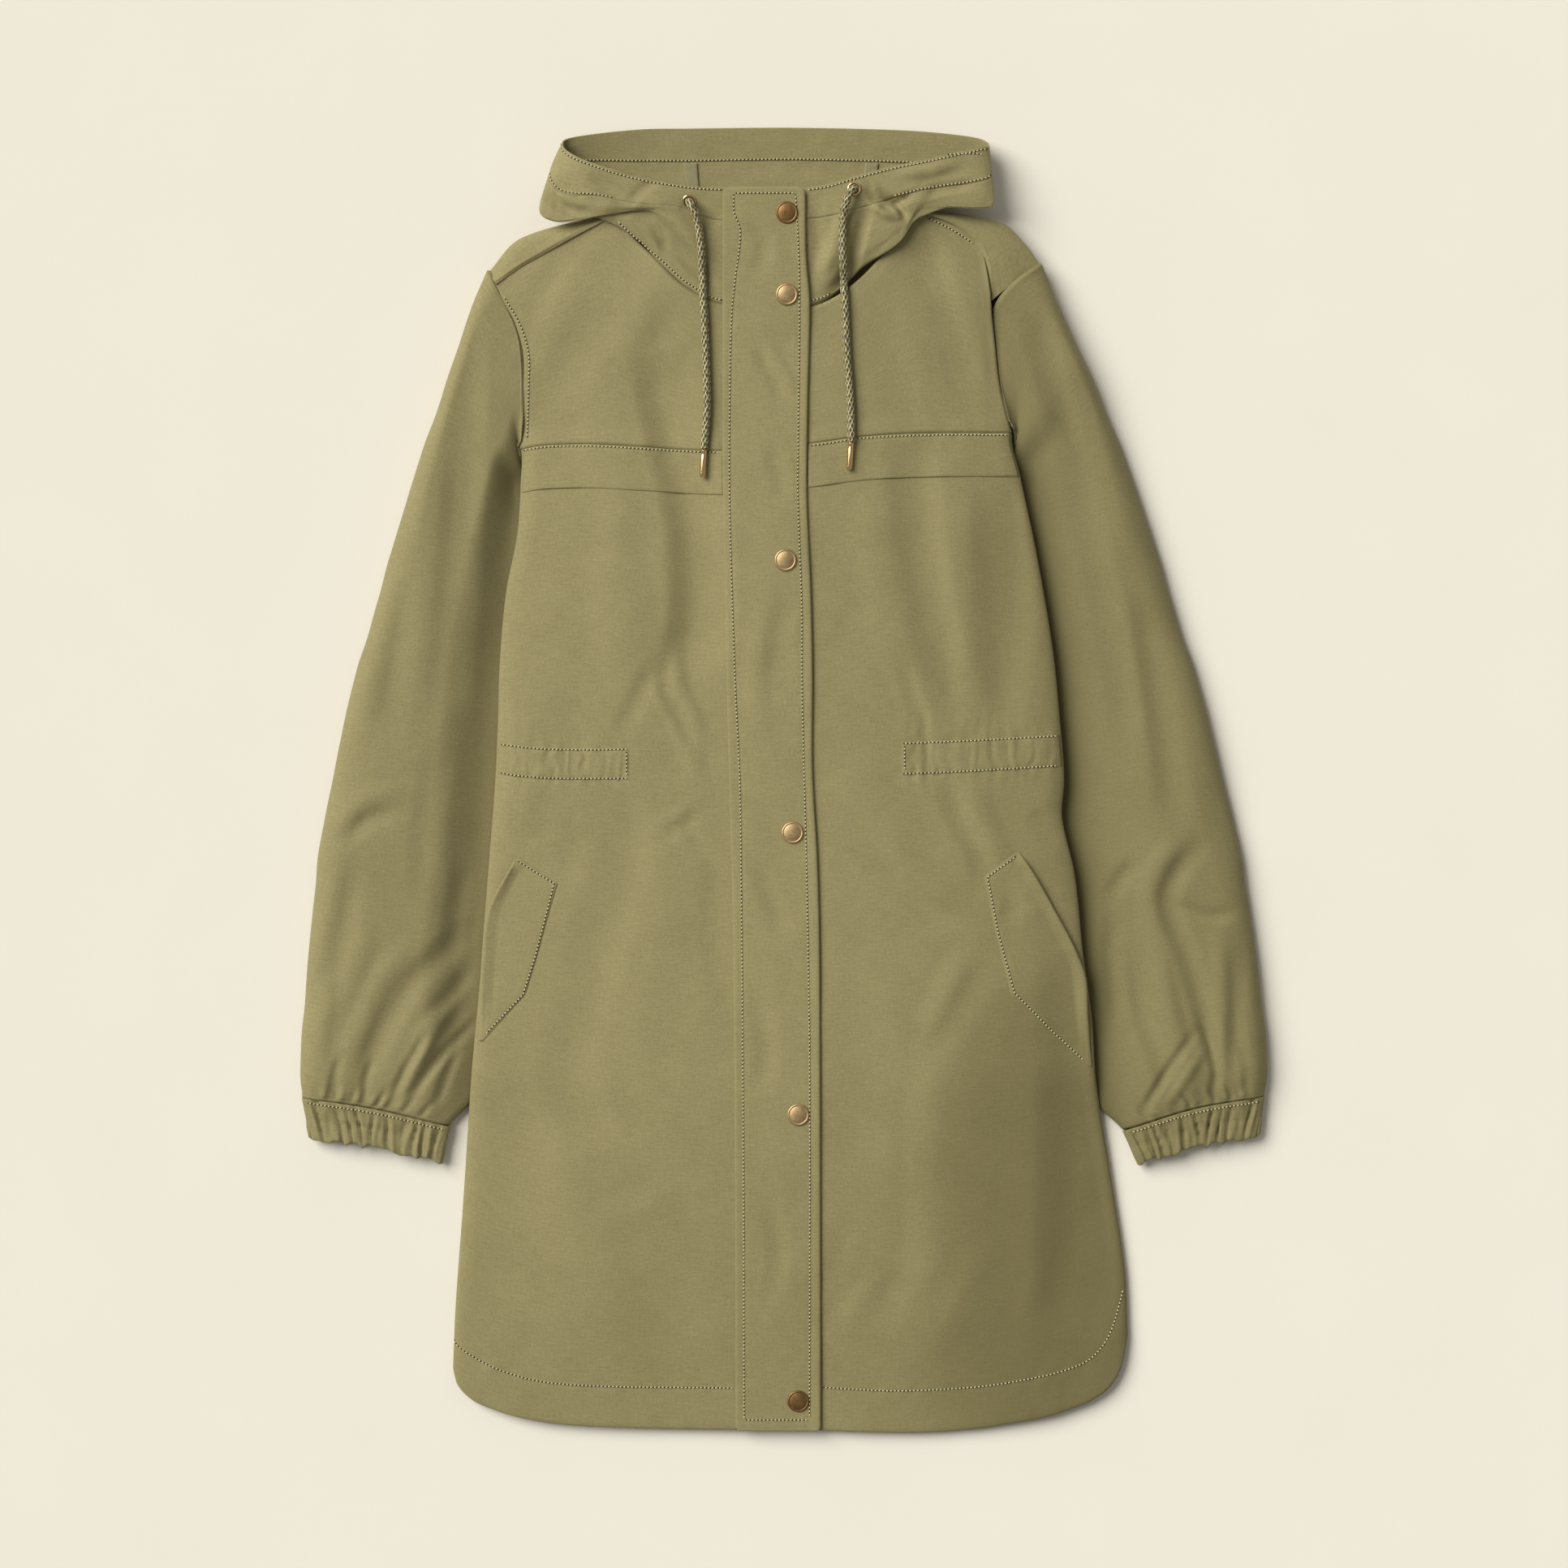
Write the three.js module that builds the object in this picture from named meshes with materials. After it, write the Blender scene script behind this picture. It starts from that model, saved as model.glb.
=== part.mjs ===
// A hooded parka laid on its back: X runs across the coat, +Y towards the hood and +Z up through the front.
// The origin is on the surface it lies on, under the middle of the coat. Left is the -X side. Millimetres.
// Each piece of cloth is a thin closed wall, made as a grid of points on its outer face and the same grid
// moved in by the thickness of the cloth. Pieces stay SEAM apart where they are sewn to each other.
import * as THREE from "three";

// Driving dimensions
const CLOTH = 1.2; // wall of one layer of cloth
const SEAM = 0.3; // gap between two pieces that are sewn together
const HEM_Y = -459; // bottom of the hem at the front opening
const NECK_Y = 331; // neck seam at the front opening
const MOUTH_Y = 413; // edge of the hood at the front opening
const OPENING_X = -6; // where the two fronts meet, under the placket
const SLEEVE_UNDER = 6.6; // thickness of a sleeve where the body lies on it
const BACK_ROLL = 16; // how far in from the side edge the back turns up to the front
const FRONT_ROLL = 14; // how far in from the side edge the front turns down to the back
const FRONT_TURN = 4; // and by how much
const SNAP_R = 7.7;
const SNAP_TALL = 2.4;
const EYELET_R = 5;
const EYELET_HOLE_R = 3.3;
const EYELET_TALL = 1.3;
const CORD_R = 2.75;
const AGLET_R = 2.1;
const AGLET_LONG = 19;
const ON_TOP = 0.5; // gap under a piece that lies on a panel
const LOOSE = 0.3; // how much more a piece with a free edge stands off
const FLAP_DEEP = 31; // storm flap, from the yoke seam to its free edge

const OLIVE = { color: 0x968d63, roughness: 0.75, metalness: 0 };
const SAGE = { color: 0x8d8f66, roughness: 0.7, metalness: 0 };
const ANTIQUE_BRASS = { color: 0xb08f5a, roughness: 0.35, metalness: 1 };
const BRIGHT_BRASS = { color: 0xd9b077, roughness: 0.2, metalness: 1 };

// ---- curves ----

// A smooth function through [at, value] pairs in rising order, level with the last pair beyond each end.
function through(pairs) {
  const slope = pairs.map((p, i) => {
    const before = pairs[Math.max(i - 1, 0)];
    const after = pairs[Math.min(i + 1, pairs.length - 1)];
    return (after[1] - before[1]) / (after[0] - before[0]);
  });
  return (at) => {
    if (at <= pairs[0][0]) return pairs[0][1];
    if (at >= pairs[pairs.length - 1][0]) return pairs[pairs.length - 1][1];
    const i = pairs.findIndex((p) => p[0] > at) - 1;
    const [[x0, y0], [x1, y1]] = [pairs[i], pairs[i + 1]];
    const w = x1 - x0;
    const t = (at - x0) / w;
    const [a, b] = [slope[i] * w, slope[i + 1] * w];
    return y0 + t * (a + t * (3 * (y1 - y0) - 2 * a - b + t * (a + b - 2 * (y1 - y0))));
  };
}

// The same through points of any length, by their number: curve(1.5) is half way from point 1 to point 2.
const pointsThrough = (points) => curveAt(points.map((_, i) => i), points);

// The same through points given at rising places.
function curveAt(places, points) {
  const parts = points[0].map((_, k) => through(points.map((p, i) => [places[i], p[k]])));
  return (at) => parts.map((part) => part(at));
}

const mix = (a, b, t) => a + (b - a) * t;
const clamp = (t) => Math.min(1, Math.max(0, t));
const smooth = (t) => clamp(t) ** 2 * (3 - 2 * clamp(t));
const spaced = (n) => Array.from({ length: n + 1 }, (_, i) => i / n);

// ---- the form of the body ----

// Side edges of the body, as x at each y. Above the underarm they run out past the armholes, so that the
// fronts don't turn down there.
const leftEdge = through([
  [-416, -234], [-370, -232], [-302, -227], [-215, -221], [-138, -214], [-109, -212], [-65, -208.5],
  [0, -203.5], [44, -201.5], [80, -200.5], [131, -196], [173, -188], [210, -185.5], [233, -185.5],
  [270, -198], [310, -214], [350, -228],
]);
const rightEdge = through([
  [-393, 243], [-347, 241], [-279, 231], [-211, 220], [-168, 217], [-124, 211], [-67, 205], [-26, 196],
  [0, 197.5], [36, 195], [92, 189.5], [160, 178], [214, 166.5], [244, 160.5], [270, 172], [310, 185],
  [350, 200],
]);
// Height of the fold at the side edges: high where the body lies on a sleeve.
const sideHeight = through([[-300, 5], [-240, 7], [-200, 13], [233, 14.5], [300, 15]]);
// Height of the front along the opening.
const crown = through([[HEM_Y, 9], [-430, 11], [-330, 19], [-200, 25], [0, 25], [150, 29], [NECK_Y, 30],
  [MOUTH_Y, 34]]);
const CROWN_SQUARE = 2.6; // how square the crown's section is: 2 is a parabola
const NECK_DROP = 6; // how far the yokes slope down to the shoulders beside the neck

// Outer face of the front of the body.
function frontHeight(x, y) {
  const edge = Math.abs(x < 0 ? leftEdge(y) : rightEdge(y));
  const turn = clamp(1 - (edge - Math.abs(x)) / FRONT_ROLL);
  const side = sideHeight(y) + FRONT_TURN * Math.sqrt(1 - turn ** 2);
  const dome = (crown(y) - sideHeight(y) - FRONT_TURN) * (1 - clamp(Math.abs(x) / edge) ** CROWN_SQUARE);
  return side + dome - NECK_DROP * smooth((Math.abs(x) - 60) / 50) * smooth((y - NECK_Y) / 50);
}

// Inner edges of the sleeves, under the body, as x at each y.
const leftSleeveUnder = through([[-214, -221], [-195, -207], [-135, -190], [-70, -175], [0, -163], [70, -153],
  [140, -149], [190, -152], [230, -160]]);
const rightSleeveUnder = through([[-214, 222], [-190, 208], [-135, 183], [-70, 160], [0, 143], [70, 131],
  [140, 125], [190, 128], [240, 140]]);
const LIFT_RUN = 36; // how far from a sleeve the back starts to rise over it

// Outer face of the back, which lies on the surface and rises over the sleeves.
function backHeight(x, y) {
  const [under, edge] = x < 0 ? [leftSleeveUnder(y), leftEdge(y)] : [rightSleeveUnder(y), rightEdge(y)];
  const near = smooth((Math.abs(x) - Math.abs(under) + LIFT_RUN) / LIFT_RUN);
  const beside = smooth((y + 262) / 46) * smooth((256 - y) / 30);
  const lifted = (SLEEVE_UNDER + 1.7) * near * beside;
  const turn = clamp(1 - (Math.abs(edge) - Math.abs(x)) / BACK_ROLL);
  return lifted + (sideHeight(y) - 1.5 * SEAM - lifted) * (1 - Math.sqrt(1 - turn ** 2));
}

// ---- outlines of the front ----

const leftHem = through([[-234, -416], [-231, -427], [-220, -438], [-207, -444], [-188, -450], [-159, -455],
  [-100, -458], [-40, HEM_Y]]);
const rightHem = through([[-40, HEM_Y], [20, -459.5], [90, -461], [129, -459], [158, -455], [185, -450],
  [204, -444], [218, -438], [231, -428], [239, -413], [243, -393]]);
const leftYokeSeam = through([[-185, 233], [-168, 235.5], [-138, 236], [-100, 234], [-44, 231], [0, 230]]);
const rightYokeSeam = through([[-6, 234], [17, 236], [54, 241], [94, 243.5], [160, 244.5]]);
const leftArmhole = through([[233, -185.5], [275, -183], [301, -183.5], [321, -189], [336, -197],
  [349, -203]]);
const rightArmhole = through([[244, 160], [275, 152], [307, 148], [331, 145.5], [345, 144.5]]);
const leftYokeTop = through([[-203, 349], [-186, 361], [-150, 381], [-118, 396], [-107, 381], [-96, 370],
  [-75, 349], [-60, 339], [-42, 332], [0, NECK_Y - 1]]);
const rightYokeTop = through([[-6, NECK_Y - 1], [20, NECK_Y], [35, 337], [48, 346], [60, 357], [72, 371],
  [82, 384], [93, 399], [117, 390], [132, 381], [140, 370], [144.5, 341]]);

// ---- solids from surfaces ----

// The unit normal of a surface at (u, v), for a surface that is seen from outside with u to the right and v
// upwards. ends are the ends of u and v, or none where the surface closes on itself.
function normalAt(surface, u, v, ends) {
  const step = 5e-5;
  const pair = (at, [low, high]) => [Math.max(at - step, low), Math.min(at + step, high)];
  const [left, right] = pair(u, ends[0]).map((at) => new THREE.Vector3(...surface(at, v)));
  const [below, above] = pair(v, ends[1]).map((at) => new THREE.Vector3(...surface(u, at)));
  return right.sub(left).cross(above.sub(below)).normalize();
}

// A wall of cloth whose outer face passes through surface(u, v) at each of us and vs, moved out by lift.
function wall(name, surface, us, vs, { around = false, lift = 0, thick = CLOTH, look = OLIVE } = {}) {
  const ends = [around ? [-Infinity, Infinity] : [us[0], us[us.length - 1]], [vs[0], vs[vs.length - 1]]];
  const points = [lift, lift - thick].flatMap((out) =>
    vs.flatMap((v) =>
      us.map((u) => {
        const p = surface(u, v);
        const n = normalAt(surface, u, v, ends);
        return [p[0] + n.x * out, p[1] + n.y * out, Math.max(p[2] + n.z * out, 0)];
      }),
    ),
  );
  const at = (i, j, side) => (side * vs.length + i) * us.length + (j % us.length);
  const faces = [];
  const quad = (a, b, c, d) => faces.push(a, b, c, a, c, d);
  const lastRow = vs.length - 1;
  const lastColumn = around ? us.length : us.length - 1;
  for (let i = 0; i < lastRow; i++)
    for (let j = 0; j < lastColumn; j++) {
      quad(at(i, j, 0), at(i, j + 1, 0), at(i + 1, j + 1, 0), at(i + 1, j, 0));
      quad(at(i, j, 1), at(i + 1, j, 1), at(i + 1, j + 1, 1), at(i, j + 1, 1));
    }
  for (let j = 0; j < lastColumn; j++) {
    quad(at(0, j, 1), at(0, j + 1, 1), at(0, j + 1, 0), at(0, j, 0));
    quad(at(lastRow, j, 0), at(lastRow, j + 1, 0), at(lastRow, j + 1, 1), at(lastRow, j, 1));
  }
  for (let i = 0; i < lastRow && !around; i++) {
    quad(at(i, 0, 0), at(i + 1, 0, 0), at(i + 1, 0, 1), at(i, 0, 1));
    quad(at(i, lastColumn, 1), at(i + 1, lastColumn, 1), at(i + 1, lastColumn, 0), at(i, lastColumn, 0));
  }
  const geometry = new THREE.BufferGeometry();
  geometry.setAttribute("position", new THREE.Float32BufferAttribute(points.flat(), 3));
  geometry.setIndex(faces);
  return named(name, geometry, look);
}

function named(name, geometry, look) {
  const mesh = new THREE.Mesh(geometry, new THREE.MeshStandardMaterial(look));
  mesh.name = name;
  return mesh;
}

// A surface over a four-sided outline on height(x, y): its side edges are x0(y) and x1(y), and its lower
// and upper edges y0(x) and y1(x).
function patch(x0, x1, y0, y1, height) {
  return (u, v) => {
    let x = mix(x0(0), x1(0), u);
    let y = 0;
    for (let pass = 0; pass < 12; pass++) {
      y = mix(y0(x), y1(x), v);
      x = mix(x0(y), x1(y), u);
    }
    return [x, y, height(x, y)];
  };
}

const moved = (f, d) => (at) => f(at) + d;
const always = (value) => () => value;
const mirrored = (us) => us.map((u) => 1 - u).reverse();

// ---- body ----

// Close together where the side turns, then wider.
const FROM_SIDE = [0, 0.0047, 0.018, 0.038, 0.061, 0.11, 0.2, 0.36, 0.56, 0.78, 1];
// The fronts and the back have their rows at the same heights, so that their side edges fit.
const BODY_ROWS = [0, 0.012, 0.04, 0.1, 0.18, 0.23, 0.28, 0.335, 0.42, 0.54, 0.66, 0.78, 0.9, 1];

function fronts() {
  const left = patch(leftEdge, always(OPENING_X), leftHem, moved(leftYokeSeam, -2 * SEAM), frontHeight);
  const rightTop = moved(rightYokeSeam, -2 * SEAM);
  const right = patch(always(OPENING_X + SEAM), rightEdge, rightHem, rightTop, frontHeight);
  return [
    wall("front_left", left, FROM_SIDE, BODY_ROWS),
    wall("front_right", right, mirrored(FROM_SIDE), BODY_ROWS),
  ];
}

function yokes() {
  const left = patch(leftArmhole, always(OPENING_X), leftYokeSeam, leftYokeTop, frontHeight);
  const right = patch(always(OPENING_X + SEAM), rightArmhole, rightYokeSeam, rightYokeTop, frontHeight);
  return [
    wall("yoke_left", left, [0, 0.04, 0.13, 0.28, 0.431, 0.49, 0.58, 0.68, 0.82, 1], spaced(6)),
    wall("yoke_right", right, [0, 0.17, 0.3, 0.42, 0.53, 0.6, 0.656, 0.82, 0.92, 0.975, 1], spaced(6)),
  ];
}

// The back lies on the surface, turns up at the sides, and runs over the shoulders to the shoulder seams.
// Above the underarms it passes through these curves, each at the same shares of the way across.
const ACROSS_BACK = [0, 0.1, 0.24, 0.32, 0.5, 0.68, 0.76, 0.87, 0.95, 1];
const OVER_SHOULDERS = [
  [[-184.6, 262, 0], [-160, 262, 0], [-100, 262, 0], [-70, 262, 0], [-10, 262, 0], [50, 262, 0], [85, 262, 0],
    [120, 262, 0], [142, 262, 0], [154, 262, 0]],
  [[-182.9, 306, 0], [-160, 308, 0], [-105, 308, 0], [-75, 308, 0], [-10, 306, 0], [55, 308, 0], [85, 308, 0],
    [118, 308, 0], [137, 307, 0], [146, 306, 0]],
  [[-193, 333, 1.5], [-174, 349, 1.5], [-115, 356, 0.3], [-85, 352, 0.2], [0, 336, 0], [65, 352, 0.2],
    [92, 358, 0.3], [124, 356, 0.8], [140, 348, 1.2], [147, 334, 1.5]],
  [[-203.5, 350, 6], [-182, 375, 5], [-120, 386, 2], [-88, 380, 1], [0, 349, 0], [68, 383, 1], [94, 390, 2],
    [138, 384, 4.5], [158, 372, 5.5], [167, 353.5, 6]],
  [[-208, 358, 12], [-184, 382.5, 12], [-121, 396, 10], [-95, 388, 4], [0, 356, 0.3], [74, 391, 4],
    [96, 400, 10], [150, 393.5, 12], [170, 378, 12], [180.5, 362.5, 12]],
  [[-206, 354, 18], [-182, 378, 19], [-120, 398, 18], [-97, 391, 6.3], [0, 361, 0.6], [75.5, 394, 6.3],
    [95.5, 401.5, 20], [140, 389, 20.5], [158, 373, 19.5], [165, 352.5, 18]],
  [[-203.6, 350, 22], [-178, 366.5, 22], [-118.4, 397.4, 23.8], [-98, 392.5, 7.3], [0, 365, 1.2],
    [76.5, 395.5, 7.3], [93.6, 400.4, 27], [126, 387, 23.6], [142, 368.4, 22.4], [146, 337, 21.8]],
].map((points) => curveAt(ACROSS_BACK, points));

function backPanel() {
  const hem = through([[-234, -415], [-228, -431], [-207, -444], [-159, -455], [-60, -459], [60, -459],
    [158, -455], [204, -444], [231, -428], [243, -392]]);
  const underarms = through([[-186, 232.4], [160, 243.5]]);
  const body = patch(leftEdge, rightEdge, hem, underarms, backHeight);
  const shoulders = (u, v) => pointsThrough([body(u, 1), ...OVER_SHOULDERS.map((curve) => curve(u))])(v - 1);
  const surface = (u, v) => (v < 1 ? body(1 - u, v) : shoulders(1 - u, v));
  const half = [0, 0.0035, 0.014, 0.0364, 0.07, 0.13, 0.19, 0.24, 0.27, 0.31, 0.36, 0.42];
  const us = [...half, 0.5, ...mirrored(half)];
  const vs = [...BODY_ROWS, 2, 3, 4, 4.5, 5, 5.5, 6, 7, 8];
  return wall("back_panel", surface, us, vs);
}

// ---- pieces that lie on the front ----

const FLAP_STEPS = [0, 0.01, 0.03, 0.06, 0.1, 0.2, 0.4, 0.7, 1];
function onFront(name, x0, x1, y0, y1, us, vs, lift = 0) {
  return wall(name, patch(x0, x1, y0, y1, frontHeight), us, vs, { lift: lift + CLOTH + ON_TOP });
}

function stormFlaps() {
  const ends = [moved(leftEdge, 1.6), moved(rightEdge, -1.6)];
  const low = [moved(leftYokeSeam, -FLAP_DEEP), moved(rightYokeSeam, -FLAP_DEEP)];
  const high = [moved(leftYokeSeam, -1.4), moved(rightYokeSeam, -1.4)];
  return [
    onFront("storm_flap_left", ends[0], always(-44), low[0], high[0], FLAP_STEPS, spaced(2), LOOSE),
    onFront("storm_flap_right", always(27), ends[1], low[1], high[1], mirrored(FLAP_STEPS), spaced(2), LOOSE),
  ];
}

function waistCasings() {
  const low = [through([[-203, 3], [-188, 1], [-159, -1], [-108, -1]]),
    through([[82, 2], [130, 4], [195, 8]])];
  const high = [through([[-202, 27], [-176, 24], [-138, 23], [-108, 23.5]]),
    through([[82, 27.5], [130, 29.5], [195, 33]])];
  const ends = [moved(leftEdge, 1.6), moved(rightEdge, -1.6)];
  return [
    onFront("waist_casing_left", ends[0], always(-108), low[0], high[0], FLAP_STEPS, spaced(2)),
    onFront("waist_casing_right", always(82), ends[1], low[1], high[1], mirrored(FLAP_STEPS), spaced(2)),
  ];
}

const placketLeft = through([[-458, -34], [-250, -34.5], [-95, -36], [0, -38.5], [80, -40.5], [160, -42],
  [230, -43], [321, -43], [MOUTH_Y, -43]]);
const placketRight = through([[-455, 26], [-260, 25.5], [-122, 25], [-58, 23.5], [7, 20], [73, 20], [124, 19],
  [200, 16], [260, 16.5], [335, 18], [367, 15.5], [MOUTH_Y, 15]]);
const PLACKET_TOP = MOUTH_Y + 2;
const placketHeight = (x, y) => frontHeight(x, y) + mix(0.4, 1.7, smooth((y - 300) / 50));

function placket() {
  const surface = patch(placketLeft, placketRight, always(HEM_Y - 0.4), always(PLACKET_TOP), placketHeight);
  return wall("placket", surface, [0, 0.5, 1], spaced(26), { lift: CLOTH + ON_TOP });
}

// A pocket is a patch with a slanting mouth on its outer edge, sewn down on its other edges.
function pockets() {
  const rows = [0, 0.1, 0.27, 0.42, 0.57, 0.74, 0.87, 1];
  const us = [0, 0.04, 0.12, 0.25, 0.5, 1];
  const leftMouth = through([[-184, -214.5], [-109, -210.2], [-88, -206], [-55, -189]]);
  const leftSewn = through([[-184, -212], [-153, -183], [-149, -180], [-86, -163], [-72, -159], [-55, -186]]);
  const rightMouth = through([[-202, 216.5], [-168, 214], [-131, 209.5], [-67, 176], [-51, 165.5]]);
  const rightSewn = through([[-202, 214], [-151, 161.5], [-110, 152], [-68, 141], [-51, 163]]);
  return [
    onFront("pocket_left", leftMouth, leftSewn, always(-184), always(-55), us, rows, LOOSE),
    onFront("pocket_right", rightSewn, rightMouth, always(-202), always(-51), mirrored(us), rows, LOOSE),
  ];
}

// ---- sleeves ----

// A sleeve lies flat. Each station is a line across it, from its outer edge to its inner one, with the
// height of its top, of its edges, and of the top close to the inner edge. covered is the share of the way
// across where the body lies on it. The first station follows the armhole.
const LEFT_SLEEVE = [
  { line: [[-209.4, 359], [-198, 338], [-187.6, 314], [-184.6, 290], [-184.7, 262], [-186.8, 233.6]],
    top: 21.5, side: 12, low: 20, covered: 1 },
  { line: [[-221, 332], [-199, 296], [-185, 223]], top: 22, side: 10, low: 11.5, covered: 1 },
  { line: [[-236, 287], [-212, 262], [-180, 210]], top: 23, side: 6, low: 8, covered: 0.96 },
  { line: [[-251, 244], [-216, 228], [-180, 198]], top: 23, side: 4, low: 7, covered: 0.85 },
  { line: [[-270, 184], [-216, 178], [-160, 162]], top: 23, side: 4, low: SLEEVE_UNDER, covered: 0.7 },
  { line: [[-293, 109], [-223, 104], [-150, 96]], top: 23, side: 4, low: SLEEVE_UNDER, covered: 0.65 },
  { line: [[-313, 28], [-239, 22], [-162, 12]], top: 22, side: 4, low: SLEEVE_UNDER, covered: 0.69 },
  { line: [[-328, -51], [-254, -58], [-177, -68]], top: 22, side: 4, low: SLEEVE_UNDER, covered: 0.75 },
  { line: [[-337, -129], [-267, -137], [-192, -145]], top: 21, side: 4, low: SLEEVE_UNDER, covered: 0.8 },
  { line: [[-341, -196], [-279, -204], [-211, -212]], top: 19, side: 4, low: SLEEVE_UNDER, covered: 0.93 },
  { line: [[-340.5, -223.9], [-290, -231], [-236, -243.9]], top: 15, side: 6, low: 12, covered: 1 },
];
const RIGHT_SLEEVE = [
  { line: [[182, 363.4], [161.7, 348.4], [148.7, 331], [149.2, 307], [153.3, 275], [162, 245]],
    top: 21.5, side: 12, low: 20, covered: 1 },
  { line: [[193, 337], [168, 302], [163.6, 233]], top: 22, side: 10, low: 11.5, covered: 1 },
  { line: [[209, 302], [188, 272], [157, 216]], top: 22, side: 6, low: 8, covered: 0.96 },
  { line: [[227, 262], [196, 240], [160, 202]], top: 22, side: 4, low: 7, covered: 0.82 },
  { line: [[250, 200], [194, 188], [136, 166]], top: 22, side: 4, low: SLEEVE_UNDER, covered: 0.64 },
  { line: [[276, 122], [203, 112], [127, 96]], top: 22, side: 4, low: SLEEVE_UNDER, covered: 0.58 },
  { line: [[300, 40], [223, 28], [142, 12]], top: 22, side: 4, low: SLEEVE_UNDER, covered: 0.63 },
  { line: [[322, -51], [243, -62], [162, -76]], top: 22, side: 4, low: SLEEVE_UNDER, covered: 0.68 },
  { line: [[335, -129], [262, -139], [186, -151]], top: 21, side: 4, low: SLEEVE_UNDER, covered: 0.78 },
  { line: [[341, -196], [277, -205], [211, -216]], top: 19, side: 4, low: SLEEVE_UNDER, covered: 0.92 },
  { line: [[339.5, -222.9], [290, -231], [239, -246.8]], top: 15, side: 6, low: 12, covered: 1 },
];
const ROLL_SHARE = 0.14; // share of a sleeve's width in which its edge turns over

// Outer face of a tube that lies flat through stations: u goes round it once, and v along it.
function flatTube(stations) {
  const last = stations.length - 1;
  const shapes = pointsThrough(stations.map((s) => [s.top, s.side, s.low, s.covered]));
  const lines = stations.map(({ line }) => pointsThrough(line));
  const across = (share, v) =>
    pointsThrough(stations.map(({ line }, i) => lines[i](share * (line.length - 1))))(v * last);
  return (u, v) => {
    const turn = u - Math.floor(u);
    const share = turn < 0.5 ? 2 * turn : 2 - 2 * turn;
    const [top, side, low, covered] = shapes(v * last);
    const round = Math.sqrt(1 - (1 - clamp(Math.min(share, 1 - share) / ROLL_SHARE)) ** 2);
    const falls = smooth((share - covered + 0.3) / 0.28);
    const over = mix(top, low, falls);
    const fold = share < 0.5 ? side : Math.min(side, low - 3);
    const z = turn < 0.5 ? mix(fold, over, round) : fold * (1 - round);
    return [...across(share, v), z];
  };
}

// Places round a sleeve: close together at its two turned edges.
const HALF_ROUND = [0, 0.006, 0.03, 0.07, 0.18, 0.28, 0.36, 0.43, 0.47, 0.494, 0.5];
const ROUND_SLEEVE = [...HALF_ROUND, ...HALF_ROUND.slice(1, -1).reverse().map((u) => 1 - u)];

function sleeve(name, stations) {
  const tube = flatTube(stations);
  const left = stations[0].line[0][0] < 0;
  const surface = left ? (u, v) => tube(-u, v) : tube;
  const us = left ? ROUND_SLEEVE.map((u) => -u).reverse() : ROUND_SLEEVE;
  return wall(name, surface, us, spaced(13), { around: true });
}

// A cuff is a short gathered tube with an elastic in it, between the lines of its seam and its end.
const PLEATS = 10;
const PLEAT_DEEP = 0.8;

function cuff(name, seam, end) {
  const ends = [seam, end].map(pointsThrough);
  const side = seam[0][0] < 0 ? -1 : 1;
  const surface = (u, v) => {
    const angle = u * 2 * Math.PI * side;
    const share = (1 - Math.cos(angle)) / 2;
    const pleat = PLEAT_DEEP * Math.cos(angle * 2 * PLEATS) * smooth(2 * Math.abs(Math.sin(angle)));
    const half = mix(14.5, 13.5, v) / 2;
    const up = Math.sign(Math.sin(angle)) * Math.abs(Math.sin(angle)) ** 0.6;
    const z = half + up * (half - PLEAT_DEEP + pleat);
    return [0, 1].map((k) => mix(ends[0](2 * share)[k], ends[1](2 * share)[k], v)).concat(z);
  };
  const us = spaced(4 * PLEATS).slice(0, -1);
  return wall(name, surface, us, spaced(2), { around: true });
}

function sleeves() {
  const left = [[[-340.2, -224.6], [-290, -232], [-236, -245]], [[-336, -253.5], [-288, -260], [-241, -270.5]]];
  const right = [[[339.2, -223.6], [290, -232], [239, -248]], [[336, -251.5], [290, -260], [250, -271.5]]];
  return [
    sleeve("sleeve_left", LEFT_SLEEVE),
    sleeve("sleeve_right", RIGHT_SLEEVE),
    cuff("cuff_left", ...left),
    cuff("cuff_right", ...right),
  ];
}

// ---- hood ----

const backNeck = (share) => OVER_SHOULDERS[6](share).map((at, k) => at + [0, 1.7, 0.3][k]);

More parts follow.
